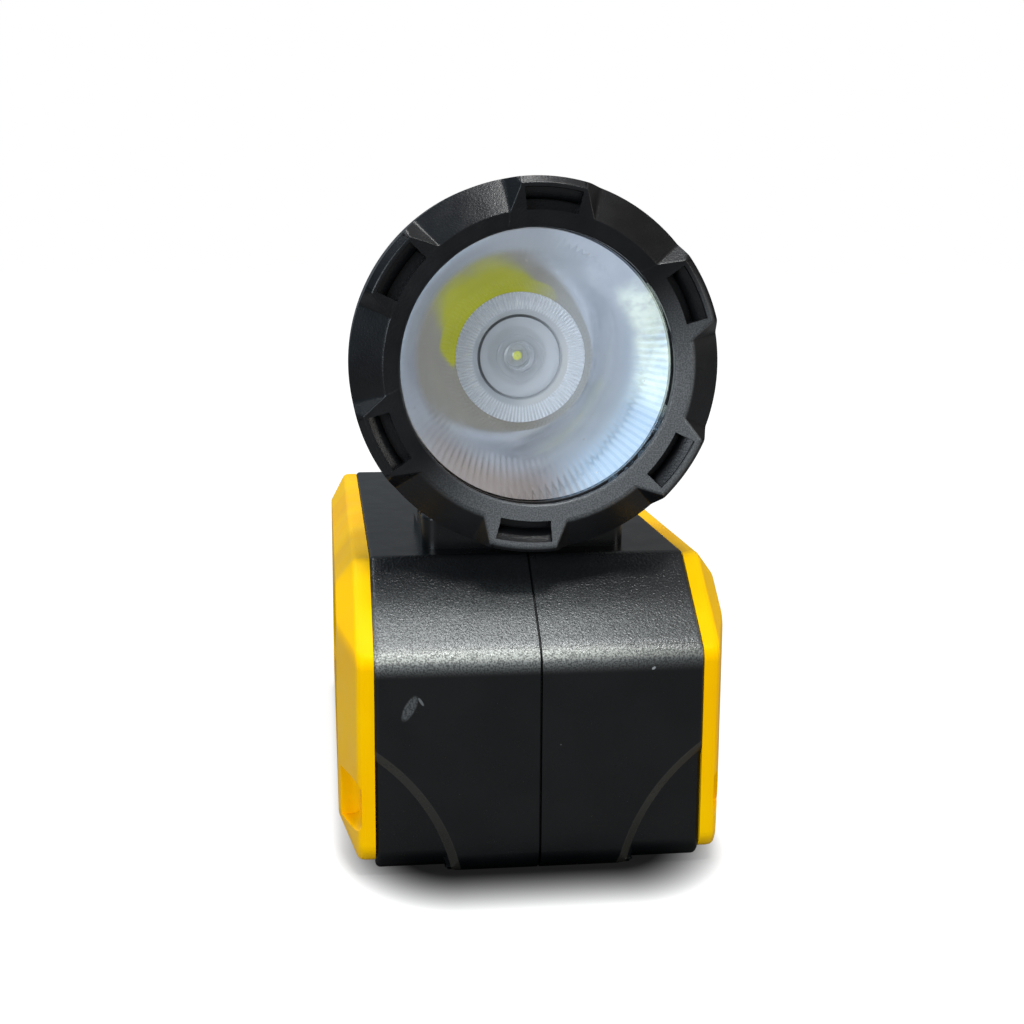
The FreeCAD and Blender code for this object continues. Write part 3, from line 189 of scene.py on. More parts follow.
    def blend(self, factor, first, second):
        """A mix of two shaders."""
        return self.node("MixShader", _0=factor, _1=first.outputs[0], _2=second.outputs[0])

    def outer_side(self):
        """1 where a ray meets a face from outside, and 0 from within."""
        return self.math("SUBTRACT", 1.0, self.node("NewGeometry").outputs["Backfacing"])

    def seen(self, glossy):
        """How strongly a backdrop shows: 1 to the camera and through glass, and as given in mirrors."""
        path = self.node("LightPath").outputs
        mirror = self.product(path["Is Glossy Ray"], glossy)
        through = self.math("MAXIMUM", mirror, path["Is Transmission Ray"])
        return self.math("MAXIMUM", path["Is Camera Ray"], through)

    def surface(self, shader):
        """Show a shader, and give the material or world."""
        self.tree.links.new(shader.outputs[0], self.output.inputs["Surface"])
        return self.block


def rgb(red, green, blue):
    """A colour given as it looks on screen, in 0 to 255, as the linear values that Blender uses."""
    def linear(value):
        value /= 255
        return value / 12.92 if value <= 0.04045 else ((value + 0.055) / 1.055) ** 2.4
    return (linear(red), linear(green), linear(blue), 1.0)


# Plain materials

def plastic(name, light, dark, grain, depth, roughness, gloss=0.5):
    """A moulded plastic with a fine grain and slow changes in tone."""
    shade = Shade(name)
    tone = shade.step(shade.noise(60.0), 0.35, 0.65)
    rough = shade.step(shade.noise(220.0), 0.3, 0.7, roughness - 0.05, roughness + 0.05)
    bsdf = shade.node("BsdfPrincipled", Base_Color=shade.mix(tone, dark, light), Roughness=rough,
                      Specular_IOR_Level=gloss, Normal=shade.bump(shade.noise(grain), depth))
    return shade.surface(bsdf)


def metal(name, colour, roughness):
    """A bare metal with faint marks."""
    shade = Shade(name)
    rough = shade.step(shade.noise(400.0), 0.3, 0.7, roughness * 0.8, roughness * 1.2)
    bsdf = shade.node("BsdfPrincipled", Base_Color=colour, Metallic=1.0, Roughness=rough,
                      Normal=shade.bump(shade.noise(900.0), 0.00001))
    return shade.surface(bsdf)


def bumper_yellow():
    """The bumper's yellow, a smooth moulding with faint flow marks."""
    shade = Shade("bumper_yellow")
    tone = shade.step(shade.noise(40.0, 3.0), 0.3, 0.7)
    colour = shade.mix(tone, rgb(252, 188, 0), rgb(255, 200, 0))
    rough = shade.step(shade.noise(150.0), 0.3, 0.7, 0.36, 0.46)
    waves = shade.bump(shade.noise(120.0), 0.00006)
    grain = shade.bump(shade.noise(2500.0, 1.0), 0.000012, waves)
    bsdf = shade.node("BsdfPrincipled", Base_Color=colour, Roughness=rough, Specular_IOR_Level=0.4,
                      Specular_Tint=(1.0, 0.8, 0.03, 1), Normal=grain)
    return shade.surface(bsdf)


# Housing

def slope_colour(shade, across, up):
    """The slope's grain under painted light: a painted highlight, greyer towards the lower crease and
    palest along it, and painted shade, darker towards the top and on the right.
    """
    # Painted highlight: grey near the lower crease, fading to painted shade towards the top
    painted_light = shade.mix(shade.step(up, LOWER_CREASE + 0.0127, LOWER_CREASE + 0.0007), rgb(32, 34, 36),
                     rgb(134, 137, 136))
    # A painted highlight along the lower crease
    crease_highlight = shade.product(shade.step(up, LOWER_CREASE - 0.0016, LOWER_CREASE - 0.0002),
                          shade.step(up, LOWER_CREASE + 0.002, LOWER_CREASE + 0.0004))
    painted_light = shade.mix(crease_highlight, painted_light, rgb(188, 191, 184))
    # Painted shade on the slope's right side
    painted_light = shade.mix(shade.step(across, -0.004, 0.034, 0.0, 0.62), painted_light, rgb(34, 36, 37))
    pits = shade.step(shade.noise(2900.0, 1.0), 0.4, 0.62, 0.0, 0.62)
    return shade.mix(pits, painted_light, rgb(20, 21, 22))


def shield_edge(shade, across, along, up):
    """1 on the chamfer of the shield's side edges."""
    reach = shade.distance(shade.pair(shade.math("ABSOLUTE", across), up), SHIELD_CENTRE)
    half = SHIELD_CHAMFER / 2
    return shade.product(shade.math("COMPARE", reach, SHIELD_RADIUS - half, half),
                         shade.math("LESS_THAN", along, HOUSING_FRONT + 0.002))


def front_marks(shade, across, along, up):
    """How strongly the front face shows its scuff, the chip beside that, and its nick."""
    scuff = shade.ellipse(across, up, (-0.0257, 0.0350), (0.0031, 0.0012), 62)
    scuff = shade.product(scuff, shade.step(shade.noise(2400.0, 1.0), 0.35, 0.62, 0.1, 0.26))
    chip = shade.product(shade.ellipse(across, up, (-0.0235, 0.0363), (0.0011, 0.0003), -58), 0.4)
    nick = shade.ellipse(across, up, (0.0222, 0.0417), (0.0005, 0.0003), 34.4)
    marks = shade.math("MAXIMUM", shade.math("MAXIMUM", scuff, chip), nick)
    return shade.product(marks, shade.step(along, HOUSING_FRONT + 0.001, HOUSING_FRONT + 0.0005))


def housing_black():
    """The housing's black: satin faces, with a raised spark grain on the sloped front, painted light on
    the slope and a painted reflection on the shield's chamfer.
    """
    shade = Shade("housing_black")
    across, along, up = (shade.axis(name) for name in "XYZ")
    slope = shade.product(shade.step(along, HOUSING_FRONT + 0.0225, HOUSING_FRONT + 0.0195),
                          shade.step(up, LOWER_CREASE - 0.004, LOWER_CREASE))
    tone = shade.step(shade.noise(70.0, 3.0), 0.35, 0.65)
    colour = shade.mix(tone, rgb(4, 6, 7), rgb(9, 11, 12))
    # The slope's grey is painted light over its grain: a painted highlight and painted shade
    colour = shade.mix(slope, colour, slope_colour(shade, across, up))
    # A painted reflection of the floor makes the shield's chamfer lighter
    edge = shade.product(shield_edge(shade, across, along, up), 0.6)
    colour = shade.mix(edge, colour, rgb(58, 57, 52))
    colour = shade.mix(front_marks(shade, across, along, up), colour, rgb(140, 144, 146))
    dust = shade.product(shade.specks(260.0, 0.05, 0.08), 0.25)
    colour = shade.mix(dust, colour, rgb(150, 150, 150))
    rough = shade.step(shade.noise(240.0), 0.3, 0.7, 0.27, 0.31)
    cells = shade.node("TexVoronoi", {"feature": "SMOOTH_F1"}, Vector=shade.place, Scale=1900.0,
                       Smoothness=0.6).outputs["Distance"]
    grain = shade.math("ADD", shade.product(cells, 0.6), shade.noise(2300.0, 1.0))
    height = shade.product(grain, shade.math("MULTIPLY_ADD", slope, 0.9, 0.1))
    bsdf = shade.node("BsdfPrincipled", Base_Color=colour, Roughness=rough, Specular_IOR_Level=0.32,
                      Normal=shade.bump(height, 0.00009))
    return shade.surface(bsdf)


# Lamp head's materials

# The optic's front in metres: the radii out to which it is clear, of its groove with painted shade,
# of its arc with a painted highlight and of its ribbed ring's inner edge
OPTIC_CLEAR = 0.0014
OPTIC_GROOVE = 0.0087
OPTIC_ARC = 0.0096
OPTIC_RING = 0.0099
PHOSPHOR_RADIUS = 0.00115


def bezel_black():
    """The ring's black: a fine even spark grain, with painted light greying its front at the lower right.
    """
    shade = Shade("bezel_black")
    tone = shade.step(shade.noise(80.0, 3.0), 0.35, 0.65)
    colour = shade.mix(tone, rgb(10, 11, 13), rgb(17, 18, 20))
    # Painted light: the front at the lower right is greyer, with a speckle
    painted_light = shade.product(shade.depth(0.9, 0.3),
                         shade.towards(shade.spoke(), (0.6, -0.8, 0.0), -0.05, 0.75),
                         shade.step(shade.noise(3600.0, 1.0), 0.4, 0.62, 0.55, 1.0))
    colour = shade.mix(painted_light, colour, rgb(104, 107, 109))
    rough = shade.step(shade.noise(300.0), 0.3, 0.7, 0.28, 0.34)
    bsdf = shade.node("BsdfPrincipled", Base_Color=colour, Roughness=rough, Specular_IOR_Level=0.26,
                      Normal=shade.bump(shade.noise(2600.0, 1.0), 0.00004))
    return shade.surface(bsdf)


def cup_glare(shade, spoke, ribs):
    """A glow like daylight in the cup: dim on the right, blue at the lower right, pale by the mouth."""
    base = shade.towards(spoke, RIGHT, 0.0, 0.9)
    blue = shade.product(shade.towards(spoke, (0.88, -0.47, 0.0), 0.45, 0.95), shade.depth(22.8, 8.8),
                         shade.step(ribs, -0.6, 0.8, 0.5, 1.0))
    streak = shade.step(shade.noise(420.0, 3.0, 0.6, (1, 0.15, 1)), 0.3, 0.7, 0.45, 1.15)
    pale = shade.product(shade.towards(spoke, (0.985, 0.17, 0.0), 0.82, 0.94), shade.depth(17.3, 11.3),
                         streak)
    glare = shade.mix(base, BLACK, (0.1, 0.13, 0.17, 1))
    glare = shade.mix(blue, glare, (0.17, 0.27, 0.38, 1))
    return shade.mix(pale, glare, (0.5, 0.6, 0.52, 1))


def silvering():
    """The reflector's coating: a mirror with a slight haze, ribbed by its mouth with painted shade in the
    grooves, a painted warm reflection low by the mouth, and a painted glare.
    """
    shade = Shade("silvering")
    spoke = shade.spoke()
    ribs = shade.ribs()
    mouth = shade.depth(19.8, 8.8)
    ribbed = shade.product(mouth, shade.towards(spoke, (0.5, -0.87, 0.0), -0.2, 0.6, 0.08, 1.0))
    # Painted shade in the rib grooves
    groove = shade.product(ribbed, shade.step(ribs, -0.3, 0.8, 0.0, 0.5))
    # A painted warm reflection low by the mouth
    warm = shade.product(shade.towards(spoke, (-0.3, -0.95, 0.0), 0.6, 1.0, 0.0, 0.85), mouth)
    tone = shade.step(shade.noise(90.0, 3.0), 0.3, 0.7)
    colour = shade.mix(tone, rgb(236, 237, 243), rgb(246, 247, 250))
    colour = shade.mix(groove, colour, rgb(176, 181, 194))
    colour = shade.mix(warm, colour, rgb(216, 190, 172))
    rough = shade.step(shade.noise(350.0), 0.3, 0.7, 0.05, 0.09)
    # The emission is the painted glare from cup_glare, a painted reflection that glows
    bsdf = shade.node("BsdfPrincipled", Base_Color=colour, Metallic=1.0, Roughness=rough,
                      Normal=shade.bump(shade.product(ribs, ribbed), 0.000014),
                      Emission_Color=cup_glare(shade, spoke, ribs), Emission_Strength=1.0)
    return shade.surface(bsdf)


def lens_clear():
    """The front lens: clear, with a weak reflection on its outer side and specks of dust."""
    shade = Shade("lens_clear")
    through = shade.node("BsdfTransparent", Color=(0.97, 0.975, 0.98, 1))
    gloss = shade.node("BsdfGlossy", Roughness=0.04)
    sheen = shade.product(shade.node("Fresnel", IOR=1.4).outputs[0], shade.outer_side())
    pane = shade.blend(sheen, through, gloss)
    dust = shade.node("BsdfDiffuse", Color=(0.8, 0.8, 0.78, 1))
    return shade.surface(shade.blend(shade.product(shade.specks(420.0, 0.1, 0.06), 0.45), pane, dust))


def patch_colour(shade, across, rise):
    """The colour of a painted reflection of the phosphor on the rim, as the cup mirrors it: yellow above
    a bent line, else grey.
    """
    line = shade.math("MINIMUM", shade.math("MULTIPLY_ADD", across, 0.72, 0.00787), 0.006)
    line = shade.math("MAXIMUM", line, shade.math("MULTIPLY_ADD", across, 0.93, 0.00451))
    above = shade.step(shade.math("SUBTRACT", rise, line), -0.0006, 0.001)
    yellow = shade.product(above, shade.step(across, 0.0085, -0.001, 0.25, 1.0))
    return shade.mix(yellow, (0.25, 0.25, 0.22, 1), (0.36, 0.385, 0.03, 1))


def optic_clear():
    """The collimator's acrylic: clear in the middle, milky outwards, with a painted glow on its ribs, a
    painted highlight on an arc, painted shade in its groove, and painted reflections that only mirror
    rays see.
    """
    shade = Shade("optic_clear")
    across, rise = shade.about_axis()
    spot = shade.pair(across, rise)
    spoke = shade.spoke()
    reach = shade.distance(spot)
    rough = shade.step(shade.noise(300.0), 0.3, 0.7, 0.02, 0.06)
    glass = shade.node("BsdfPrincipled", Base_Color=(0.96, 0.97, 0.98, 1), Roughness=rough, IOR=1.49,
                       Transmission_Weight=1.0, Normal=shade.bump(shade.noise(700.0), 0.000004))
    milk = shade.node("BsdfDiffuse", Color=(0.88, 0.91, 0.95, 1))
    # Glows for the painted glow, highlight and reflections, and a dark shader for the groove's painted
    # shade
    bright = shade.node("Emission", Color=(0.56, 0.61, 0.64, 1), Strength=0.9)
    dark = shade.node("BsdfDiffuse", Color=(0.03, 0.035, 0.04, 1))
    sky = shade.node("Emission", Color=(0.62, 0.82, 1.0, 1), Strength=0.95)
    patch = shade.node("Emission", Color=patch_colour(shade, across, rise), Strength=1.0)

    # Painted reflections that only mirror rays off the cup see on the optic: a short one the rim's
    # glowing patch, a long one a glowing pale sky
    path = shade.node("LightPath").outputs
    mirror = path["Is Glossy Ray"]
    outside = shade.outer_side()
    close = shade.product(shade.step(path["Ray Length"], 0.026, 0.021), outside)
    close = shade.product(shade.step(reach, 0.005, 0.0057, 0.0, 0.94), close)
    far = shade.product(shade.step(path["Ray Length"], 0.027, 0.04, 0.0, 0.9), outside)
    far = shade.product(far, shade.towards(spot, UPPER_LEFT, 0.0, 0.006))

    rib = shade.math("MULTIPLY_ADD", shade.step(shade.ribs(), -0.4, 0.9), 0.34, 0.12)
    rib = shade.product(rib, shade.step(reach, OPTIC_RING, OPTIC_RING + 0.0008))
    # A painted highlight on an arc at the lower right, and painted shade in the groove, most at the upper
    # left
    arc = shade.product(shade.math("COMPARE", reach, OPTIC_ARC, 0.00045),
                        shade.towards(spoke, UPPER_LEFT, -0.35, -0.85))
    groove = shade.product(shade.math("COMPARE", reach, OPTIC_GROOVE, 0.0003),
                           shade.towards(spoke, UPPER_LEFT, -0.6, 0.6, 0.25, 0.75))
    haze = shade.math("ADD", shade.step(reach, OPTIC_CLEAR, 0.005, 0.1, 0.52), rib)
    mixed = shade.blend(haze, glass, milk)
    mixed = shade.blend(shade.product(far, mirror), mixed, sky)
    # A painted glow on the ribs and a painted highlight on the arc
    mixed = shade.blend(shade.product(rib, 0.32), mixed, bright)
    mixed = shade.blend(shade.product(arc, 0.8), mixed, bright)
    # Painted shade in the groove
    mixed = shade.blend(groove, mixed, dark)
    mixed = shade.blend(shade.product(close, mirror), mixed, patch)

    # Shadow rays and diffuse rays pass straight through
    lit = shade.math("MAXIMUM", path["Is Shadow Ray"], path["Is Diffuse Ray"])
    clear = shade.node("BsdfTransparent", Color=(0.9, 0.91, 0.92, 1))
    return shade.surface(shade.blend(lit, mixed, clear))


def phosphor():
    """The emitter: a round yellow phosphor with a darker middle, on grey, that glows a little."""
    shade = Shade("phosphor_yellow")
    reach = shade.distance(shade.pair(*shade.about_axis()))
    tone = shade.step(shade.noise(900.0), 0.35, 0.65)
    colour = shade.mix(tone, rgb(205, 208, 20), rgb(220, 224, 40))
    colour = shade.mix(shade.step(reach, 0.0004, 0.0003), colour, rgb(150, 160, 10))
    body = shade.step(reach, PHOSPHOR_RADIUS, PHOSPHOR_RADIUS + 0.00015)
    colour = shade.mix(body, colour, rgb(150, 152, 146))
    glow = shade.mix(body, (0.36, 0.4, 0.01, 1), (0.12, 0.125, 0.1, 1))
    bsdf = shade.node("BsdfPrincipled", Base_Color=colour, Roughness=0.5, Emission_Color=glow,
                      Emission_Strength=1.0, Normal=shade.bump(shade.noise(1500.0), 0.00001))
    return shade.surface(bsdf)


FINISH = {
    "black_plastic": housing_black(),
    "yellow_plastic": bumper_yellow(),
    "black_rubber": plastic("rubber_black", rgb(24, 25, 26), rgb(18, 19, 20), 1400.0, 0.00003, 0.6, 0.3),
    "grey_plastic": plastic("plastic_grey", rgb(90, 92, 95), rgb(80, 82, 85), 1500.0, 0.00002, 0.5),
    "clear_glass": lens_clear(),
    "silvered_cup": silvering(),
    "yellow_phosphor": phosphor(),
    "white_board": plastic("board_white", rgb(228, 229, 226), rgb(215, 216, 212), 1500.0, 0.00001, 0.4),
    "green_board": plastic("board_green", rgb(30, 90, 50), rgb(20, 70, 40), 900.0, 0.00002, 0.35),
    "aluminium": metal("bare_aluminium", rgb(205, 207, 210), 0.4),
    "cell_can": plastic("cell_wrap", rgb(70, 110, 160), rgb(60, 100, 150), 700.0, 0.00001, 0.3),
    "steel": metal("bright_steel", rgb(190, 192, 195), 0.3),
}
BEZEL = bezel_black()
OPTIC = optic_clear()

for node in frame["nodes"].values():
    for slot in node.material_slots:
        slot.material = FINISH[slot.material.name.split(".")[0]]


# Meshes

def piece(name, points, faces, material, body, slot, *nodes, angle=40):
    """An object from points in millimetres that rides on a body and stands for CAD nodes."""
    mesh = bpy.data.meshes.new(name)
    mesh.from_pydata((np.asarray(points, dtype=float) * MM).tolist(), [], [list(face) for face in faces])
    mesh.polygons.foreach_set("use_smooth", [True] * len(mesh.polygons))
    mesh.set_sharp_from_angle(angle=math.radians(angle))
    mesh.materials.append(material)
    mesh.validate()
    mesh.update()
    item = bpy.data.objects.new(name, mesh)
    bpy.context.collection.objects.link(item)
    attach(item, body)
    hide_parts(*nodes)


def web(rows, columns, close_rows=False):
    """Quads over a grid of points whose columns close into rings."""
    faces = []
    for row in range(rows if close_rows else rows - 1):
        below = (row + 1) % rows
        for column in range(columns):
            beside = (column + 1) % columns
            faces.append((row * columns + column, row * columns + beside, below * columns + beside,
                          below * columns + column))
    return faces


def around(radii, depths, angles):
    """Points about the lamp's axis, from arrays of radius, depth and angle clockwise from the top."""
    across = radii * np.sin(angles)
    up = AXIS_HEIGHT + radii * np.cos(angles)
    along = HEAD_FRONT + depths + np.zeros_like(across)
    return np.stack([across, along, up], axis=-1).reshape(-1, 3)


def lathe(profile, columns):
    """Arrays of radius, depth and angle for a profile turned about the lamp's axis."""
    profile = np.array(profile, dtype=float)
    angles = np.arange(columns) * 2 * math.pi / columns
    radii, angles = np.meshgrid(profile[:, 0], angles, indexing="ij")
    return radii, np.repeat(profile[:, 1:], columns, axis=1), angles


def soft_min(first, second, width):
    """The lower of two values, rounded where they meet."""
    gap = np.maximum(width - np.abs(first - second), 0) / width
    return np.minimum(first, second) - gap ** 2 * width / 4


def soft_max(first, second, width):
    """The higher of two values, rounded where they meet."""
    return -soft_min(-first, -second, width)


# Bezel ring, in millimetres

# Its opening, its outer edge and where that edge's chamfer starts, its depth, its bore over the shell,
# and its seat for the lens
RING_INNER = 26.7
RING_OUTER = 36.3
RING_CHAMFER = 34.95
RING_DEPTH = 14.0
SHELL_BORE = 30.8
LENS_SEAT = 28.5

# The lugs: their number, the first one's turn from the top, their root's radius, half their width
# there, how fast they narrow outwards, how steep their sides are, and how fast the notches between
# them deepen outwards
LUGS = 6
LUG_TURN = math.radians(4.5)
LUG_ROOT = 29.9
LUG_HALF = 8.1
LUG_TAPER = 0.34
LUG_SIDE = 1.32
NOTCH_FALL = 0.703

# The lugs' windows: half their angle, the radii of their inner wall, of the step in their floor and of
# their outer wall, and their greatest depth
WINDOW_HALF = math.radians(9.55)
WINDOW_INNER = 30.0
WINDOW_STEP = 32.05
WINDOW_OUTER = 34.2
WINDOW_DEPTH = 4.2

# How far apart the points on the two sides of a bend lie
BEND = 0.12


def ring_rows():
    """Radii of the ring's front, close together where the surface turns."""
    starts = [(RING_INNER, 5), (27.1, 4), (29.4, 4), (29.85, 2), (WINDOW_INNER, 6), (31.9, 2),
              (WINDOW_STEP, 8), (WINDOW_OUTER, 2), (34.35, 4), (34.8, 5), (35.3, 5), (RING_OUTER, 1)]
    rows = [np.linspace(low, high, count, endpoint=False)
            for (low, count), (high, _) in zip(starts, starts[1:])]
    return np.append(np.concatenate(rows), RING_OUTER)


def half_lug_angles(radii, lug_half, notch):
    """Angles from a lug's middle to its notch's middle at each radius, close together at each bend."""
    lug = np.arcsin(lug_half / radii)
    foot = np.arcsin((lug_half + 0.25 + notch / LUG_SIDE) / radii)
    window = WINDOW_HALF + 0 * radii
    gap = BEND / radii
    bends = [0 * radii, window - gap, window, window + 2 * gap, lug - 3 * gap, lug, lug + 3 * gap,
             foot + 3 * gap, math.pi / LUGS + 0 * radii]
    counts = [12, 2, 3, 6, 4, 4, 8, 16]
    half = [bends[index][:, None] + (bends[index + 1] - bends[index])[:, None]
            * np.arange(count)[None, :] / count for index, count in enumerate(counts)]
    return np.concatenate(half + [bends[-1][:, None]], axis=1)


def ring_front():
    """The ring's front as radii, depths and angles: six lugs with windows, and notches between."""
    radii = ring_rows()
    outward = np.maximum(radii - LUG_ROOT, 0)
    notch = NOTCH_FALL * outward
    lug_half = LUG_HALF - LUG_TAPER * outward
    half = half_lug_angles(radii, lug_half, notch)
    spread = np.concatenate([-half[:, :0:-1], half[:, :-1]], axis=1)
    flat = 0 * spread

    # A notch is as deep as its floor or the lug's side, whichever lies nearer the front, and both edges
    # of the ring are chamfered
    across = np.abs(radii[:, None] * np.sin(spread))
    side = soft_max((across - lug_half[:, None]) * LUG_SIDE, flat, 0.3)
    notch = soft_min(soft_max(notch, 0 * notch, 0.15)[:, None] + flat, side, 0.2)
    outer = soft_max(radii - RING_CHAMFER, 0 * radii, 0.25)[:, None] + flat
    inner = soft_max(0.35 - (radii - RING_INNER) * 1.4, 0 * radii, 0.2)[:, None]
    depths = soft_max(outer, notch, 0.15) + inner

    # Each window is deepest inwards of its step, and its floor rises from there to the outer wall
    share = np.clip((radii - WINDOW_STEP) / 2.2, 0, 1)
    floor = np.where(radii < WINDOW_STEP - 0.05, WINDOW_DEPTH, 2.7 - 1.7 * share ** 0.7)[:, None] + flat
    inside = np.abs(spread) < (WINDOW_HALF - BEND / radii / 2)[:, None]
    inside &= (radii > WINDOW_INNER - 0.05)[:, None] & (radii < WINDOW_OUTER + 0.05)[:, None]
    depths = np.where(inside, np.maximum(depths, floor), depths)

    angles = np.concatenate([spread + index * 2 * math.pi / LUGS for index in range(LUGS)], axis=1)
    radii = np.repeat(radii[:, None], angles.shape[1], axis=1)
    return radii, np.tile(depths, (1, LUGS)), angles + LUG_TURN


def make_bezel():
    """The six-lug ring, as one closed skin: its front, its skirt, the bore and the lens seat."""
    radii, depths, angles = ring_front()
    behind = [(RING_OUTER, 6.0), (RING_OUTER, RING_DEPTH - 0.4), (RING_OUTER - 0.4, RING_DEPTH),
              (SHELL_BORE, RING_DEPTH), (SHELL_BORE, 4.3), (LENS_SEAT, 4.3), (LENS_SEAT, 1.5),
              (RING_INNER, 1.5)]
    back_radii = np.array([[radius] for radius, _ in behind]) + 0 * angles[:1]
    back_depths = np.array([[depth] for _, depth in behind]) + 0 * angles[:1]
    radii = np.concatenate([radii, back_radii])
    depths = np.concatenate([depths, back_depths])
    angles = np.concatenate([angles, np.repeat(angles[-1:], len(behind), axis=0)])
    rows, columns = radii.shape
    piece("bezel", around(radii, depths, angles), web(rows, columns, True), BEZEL, "bezel",
          "black_plastic", "bezel_ring", angle=35)


# Reflector and optic, in millimetres

def make_reflector():
    """The parabolic cup with its wall and its flange."""
    start, depth, mouth, throat = 4.6, 24.0, 26.4, 13.6
    wall, flange, columns = 1.2, 30.2, 256
    spread = (mouth ** 2 - throat ** 2) / depth
    depths = start + depth * np.linspace(0, 1, 60)
    inner = np.sqrt(spread * (start + mouth ** 2 / spread - depths))
    profile = list(zip(inner, depths))
    profile += [(radius + wall, deep) for radius, deep in reversed(profile) if deep > start + wall]
    profile += [(mouth + 1.1, start + wall), (flange, start + wall), (flange, start)]
    piece("reflector_cup", around(*lathe(profile, columns)), web(len(profile), columns, True),
          FINISH["silvered_cup"], "lamp_head", "silvered_cup", "reflector")


def make_optic():
    """The clear collimator: a ribbed ring, a sloped step and a sunk disc in front, and a well behind."""
    front, rib_height, columns = 27.4, 0.22, RIBS * 6
    disc = [(0.001, 1.2), (2, 1.21), (3.3, 1.23), (3.4, 1.31), (3.5, 1.23), (4.8, 1.26), (4.9, 1.34),
            (5.0, 1.26), (6, 1.29), (8.1, 1.35), (8.5, 1.4), (8.65, 1.6), (8.7, 1.9)]
    slope = [(8.85, 1.9), (8.95, 1.5), (9.1, 1.2), (9.9, 0.4), (10.15, 0.12), (10.4, 0)]
    ring = [(radius, 0) for radius in np.linspace(10.6, 13.3, 16)]
    side = [(13.5, 0.06), (13.65, 0.2), (13.7, 0.4), (13.65, 0.7), (13.2, 1.3), (12.9, 1.8), (12.4, 2.4),
            (11.4, 3.8), (10.2, 5.2), (8.6, 6.8), (7.2, 7.9), (6.2, 8.5)]
    well = [(3.5, 8.5), (3.3, 8.2), (3.1, 5.0), (2.8, 4.3), (2.0, 3.8), (1.0, 3.55), (0.001, 3.5)]
    profile = np.array(disc + slope + ring + side + well) + (0, front)
    radii, depths, angles = lathe(profile, columns)
    on_ring = (profile[:, 0] > 10.2) & (profile[:, 1] < front + 0.1)
    strength = np.where(on_ring, np.clip((profile[:, 0] - 10.0) / 2.4, 0.3, 1.0), 0)[:, None]
    depths = depths + strength * rib_height * (1 - np.cos(angles * RIBS)) / 2
    piece("optic", around(radii, depths, angles), web(len(profile), columns), OPTIC, "lamp_head",
          "clear_glass", "centre_optic")


make_bezel()
make_reflector()
make_optic()


# Floor, backdrop, lamps and camera, in metres

# The painted contact shadow lies round a core under the object, given by half its width, half its length
# and its middle along Y. It is dark up to one gap from the core, and gone at another
CORE_HALF_WIDTH = 0.016
CORE_HALF_LENGTH = 0.056
CORE_MIDDLE = 0.003
SHADOW_DARK = 0.016
SHADOW_GONE = 0.0335

# The photograph's camera: its place, its turns in degrees, and its focal length and the picture's width
# in pixels
CAMERA_PLACE = (-0.0413, -0.34842, 0.12345)
CAMERA_ASIDE = -7.22
CAMERA_DOWN = 10.14
CAMERA_ROLL = 0.33
FOCAL_LENGTH = 1500
PICTURE_WIDTH = 1024


def contact_shadow(shade):
    """How much light the floor keeps, from a little over the core to all of it past the shadow."""
    beside = shade.math("SUBTRACT", shade.math("ABSOLUTE", shade.axis("X")), CORE_HALF_WIDTH)
    beside = shade.product(shade.math("MAXIMUM", beside, 0.0), 1.35)
    beyond = shade.math("ABSOLUTE", shade.math("SUBTRACT", shade.axis("Y"), CORE_MIDDLE))
    beyond = shade.math("MAXIMUM", shade.math("SUBTRACT", beyond, CORE_HALF_LENGTH), 0.0)
    gap = shade.distance(shade.pair(beside, beyond))
    share = shade.node("MapRange", Value=gap, From_Min=SHADOW_DARK, From_Max=SHADOW_GONE, To_Min=0.14)
    return shade.math("POWER", share.outputs[0], 2.2)


def make_stage():
    """A white floor that glows as the backdrop does, with a painted contact shadow where the object meets
    it.
    """
    mesh = bpy.data.meshes.new("floor")
    reach = 6.0
    corners = [(-reach, -reach, 0), (reach, -reach, 0), (reach, reach, 0), (-reach, reach, 0)]
    mesh.from_pydata(corners, [], [(0, 1, 2, 3)])
    floor = bpy.data.objects.new("floor", mesh)
    bpy.context.collection.objects.link(floor)
    shade = Shade("floor_white")
    contact = contact_shadow(shade)
    colour = shade.node("CombineColor", _0=contact, _1=contact, _2=contact).outputs[0]
    bsdf = shade.node("BsdfDiffuse", Color=shade.mix(0.72, colour, BLACK))
    level = shade.step(shade.distance(shade.place), 0.15, 0.9, 0.8, 1.0)
    glow = shade.product(level, contact, shade.seen(0.02))
    emission = shade.node("Emission", Color=WHITE, Strength=glow)
    both = shade.node("AddShader", _0=bsdf.outputs[0], _1=emission.outputs[0])
    floor.data.materials.append(shade.surface(both))


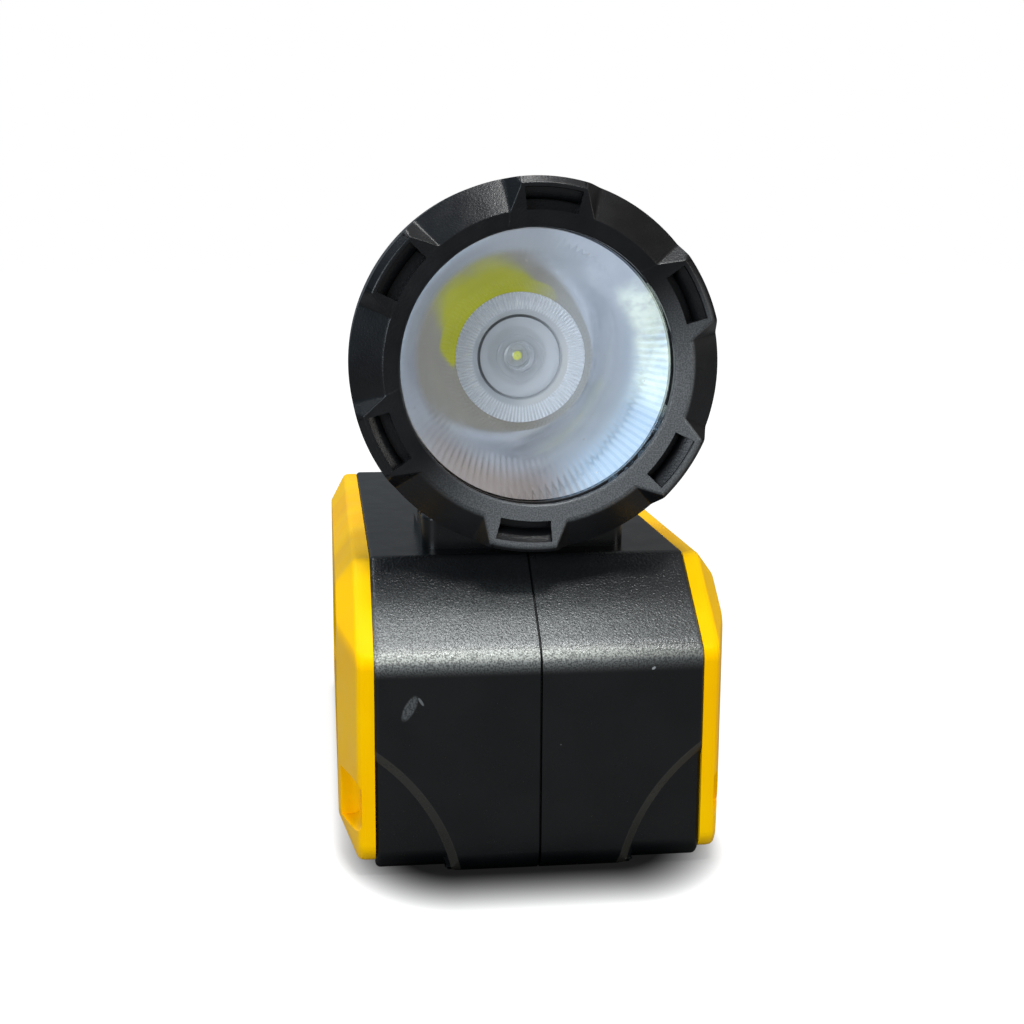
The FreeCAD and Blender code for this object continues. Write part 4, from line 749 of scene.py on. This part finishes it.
def make_world():
    """A backdrop that is white to the camera, and a dim room, cool on the left and warm on the right."""
    shade = Shade("studio", "World")
    overhead = shade.step(shade.axis("Z"), 0.2, 0.9, 0.08, 0.6)
    ahead = shade.step(shade.axis("Y"), 0.0, -0.5, 0.15, 0.45)
    strength = shade.math("MAXIMUM", shade.seen(shade.math("MAXIMUM", overhead, ahead)), 0.22)
    room = shade.mix(shade.step(shade.axis("X"), -0.7, 0.7), (0.85, 1.05, 1.25, 1), (0.8, 0.75, 0.7, 1))
    colour = shade.mix(shade.node("LightPath").outputs["Is Camera Ray"], room, WHITE)
    bpy.context.scene.world = shade.surface(shade.node("Background", Color=colour, Strength=strength))


def make_lamp(name, spot, target, size, power, colour=(1, 1, 1)):
    """A rectangular soft lamp that points at a spot, with its size in metres and its power in watts."""
    data = bpy.data.lights.new(name, "AREA")
    data.shape = "RECTANGLE"
    data.size, data.size_y = size
    data.energy = power
    data.color = colour
    lamp = bpy.data.objects.new(name, data)
    lamp.location = spot
    lamp.rotation_euler = (Vector(target) - Vector(spot)).to_track_quat("-Z", "Y").to_euler()
    bpy.context.collection.objects.link(lamp)


def make_camera():
    """The photograph's camera, ahead of the lamp, to its left and a little above its axis."""
    data = bpy.data.cameras.new("camera")
    data.sensor_width = 36.0
    data.lens = data.sensor_width * FOCAL_LENGTH / PICTURE_WIDTH
    data.clip_start = 0.01
    camera = bpy.data.objects.new("camera", data)
    aside = Matrix.Rotation(math.radians(CAMERA_ASIDE), 4, "Z")
    down = Matrix.Rotation(math.radians(90 - CAMERA_DOWN), 4, "X")
    roll = Matrix.Rotation(math.radians(CAMERA_ROLL), 4, "Z")
    camera.matrix_world = Matrix.Translation(Vector(CAMERA_PLACE)) @ (aside @ down @ roll)
    bpy.context.collection.objects.link(camera)
    bpy.context.scene.camera = camera


make_stage()
make_world()
make_lamp("overhead", (-0.02, -0.05, 0.95), (0, -0.05, 0.06), (0.34, 0.2), 3.6)
make_lamp("left_top", (-0.5, 0.12, 0.9), (0, -0.05, 0.1), (0.22, 0.22), 1.6)
make_lamp("crease_key", (0.06, -0.42, 0.84), (0, -0.05, 0.05), (0.22, 0.1), 4.4)
make_lamp("front_soft", (-0.62, -0.95, 0.32), (0, -0.05, 0.08), (0.5, 0.4), 6.0, (0.86, 0.93, 1.0))
make_lamp("right_fill", (0.85, -0.45, 0.3), (0, 0, 0.07), (0.3, 0.4), 1.8, (1.0, 0.98, 0.94))
make_camera()
bpy.context.scene.view_settings.view_transform = "Standard"
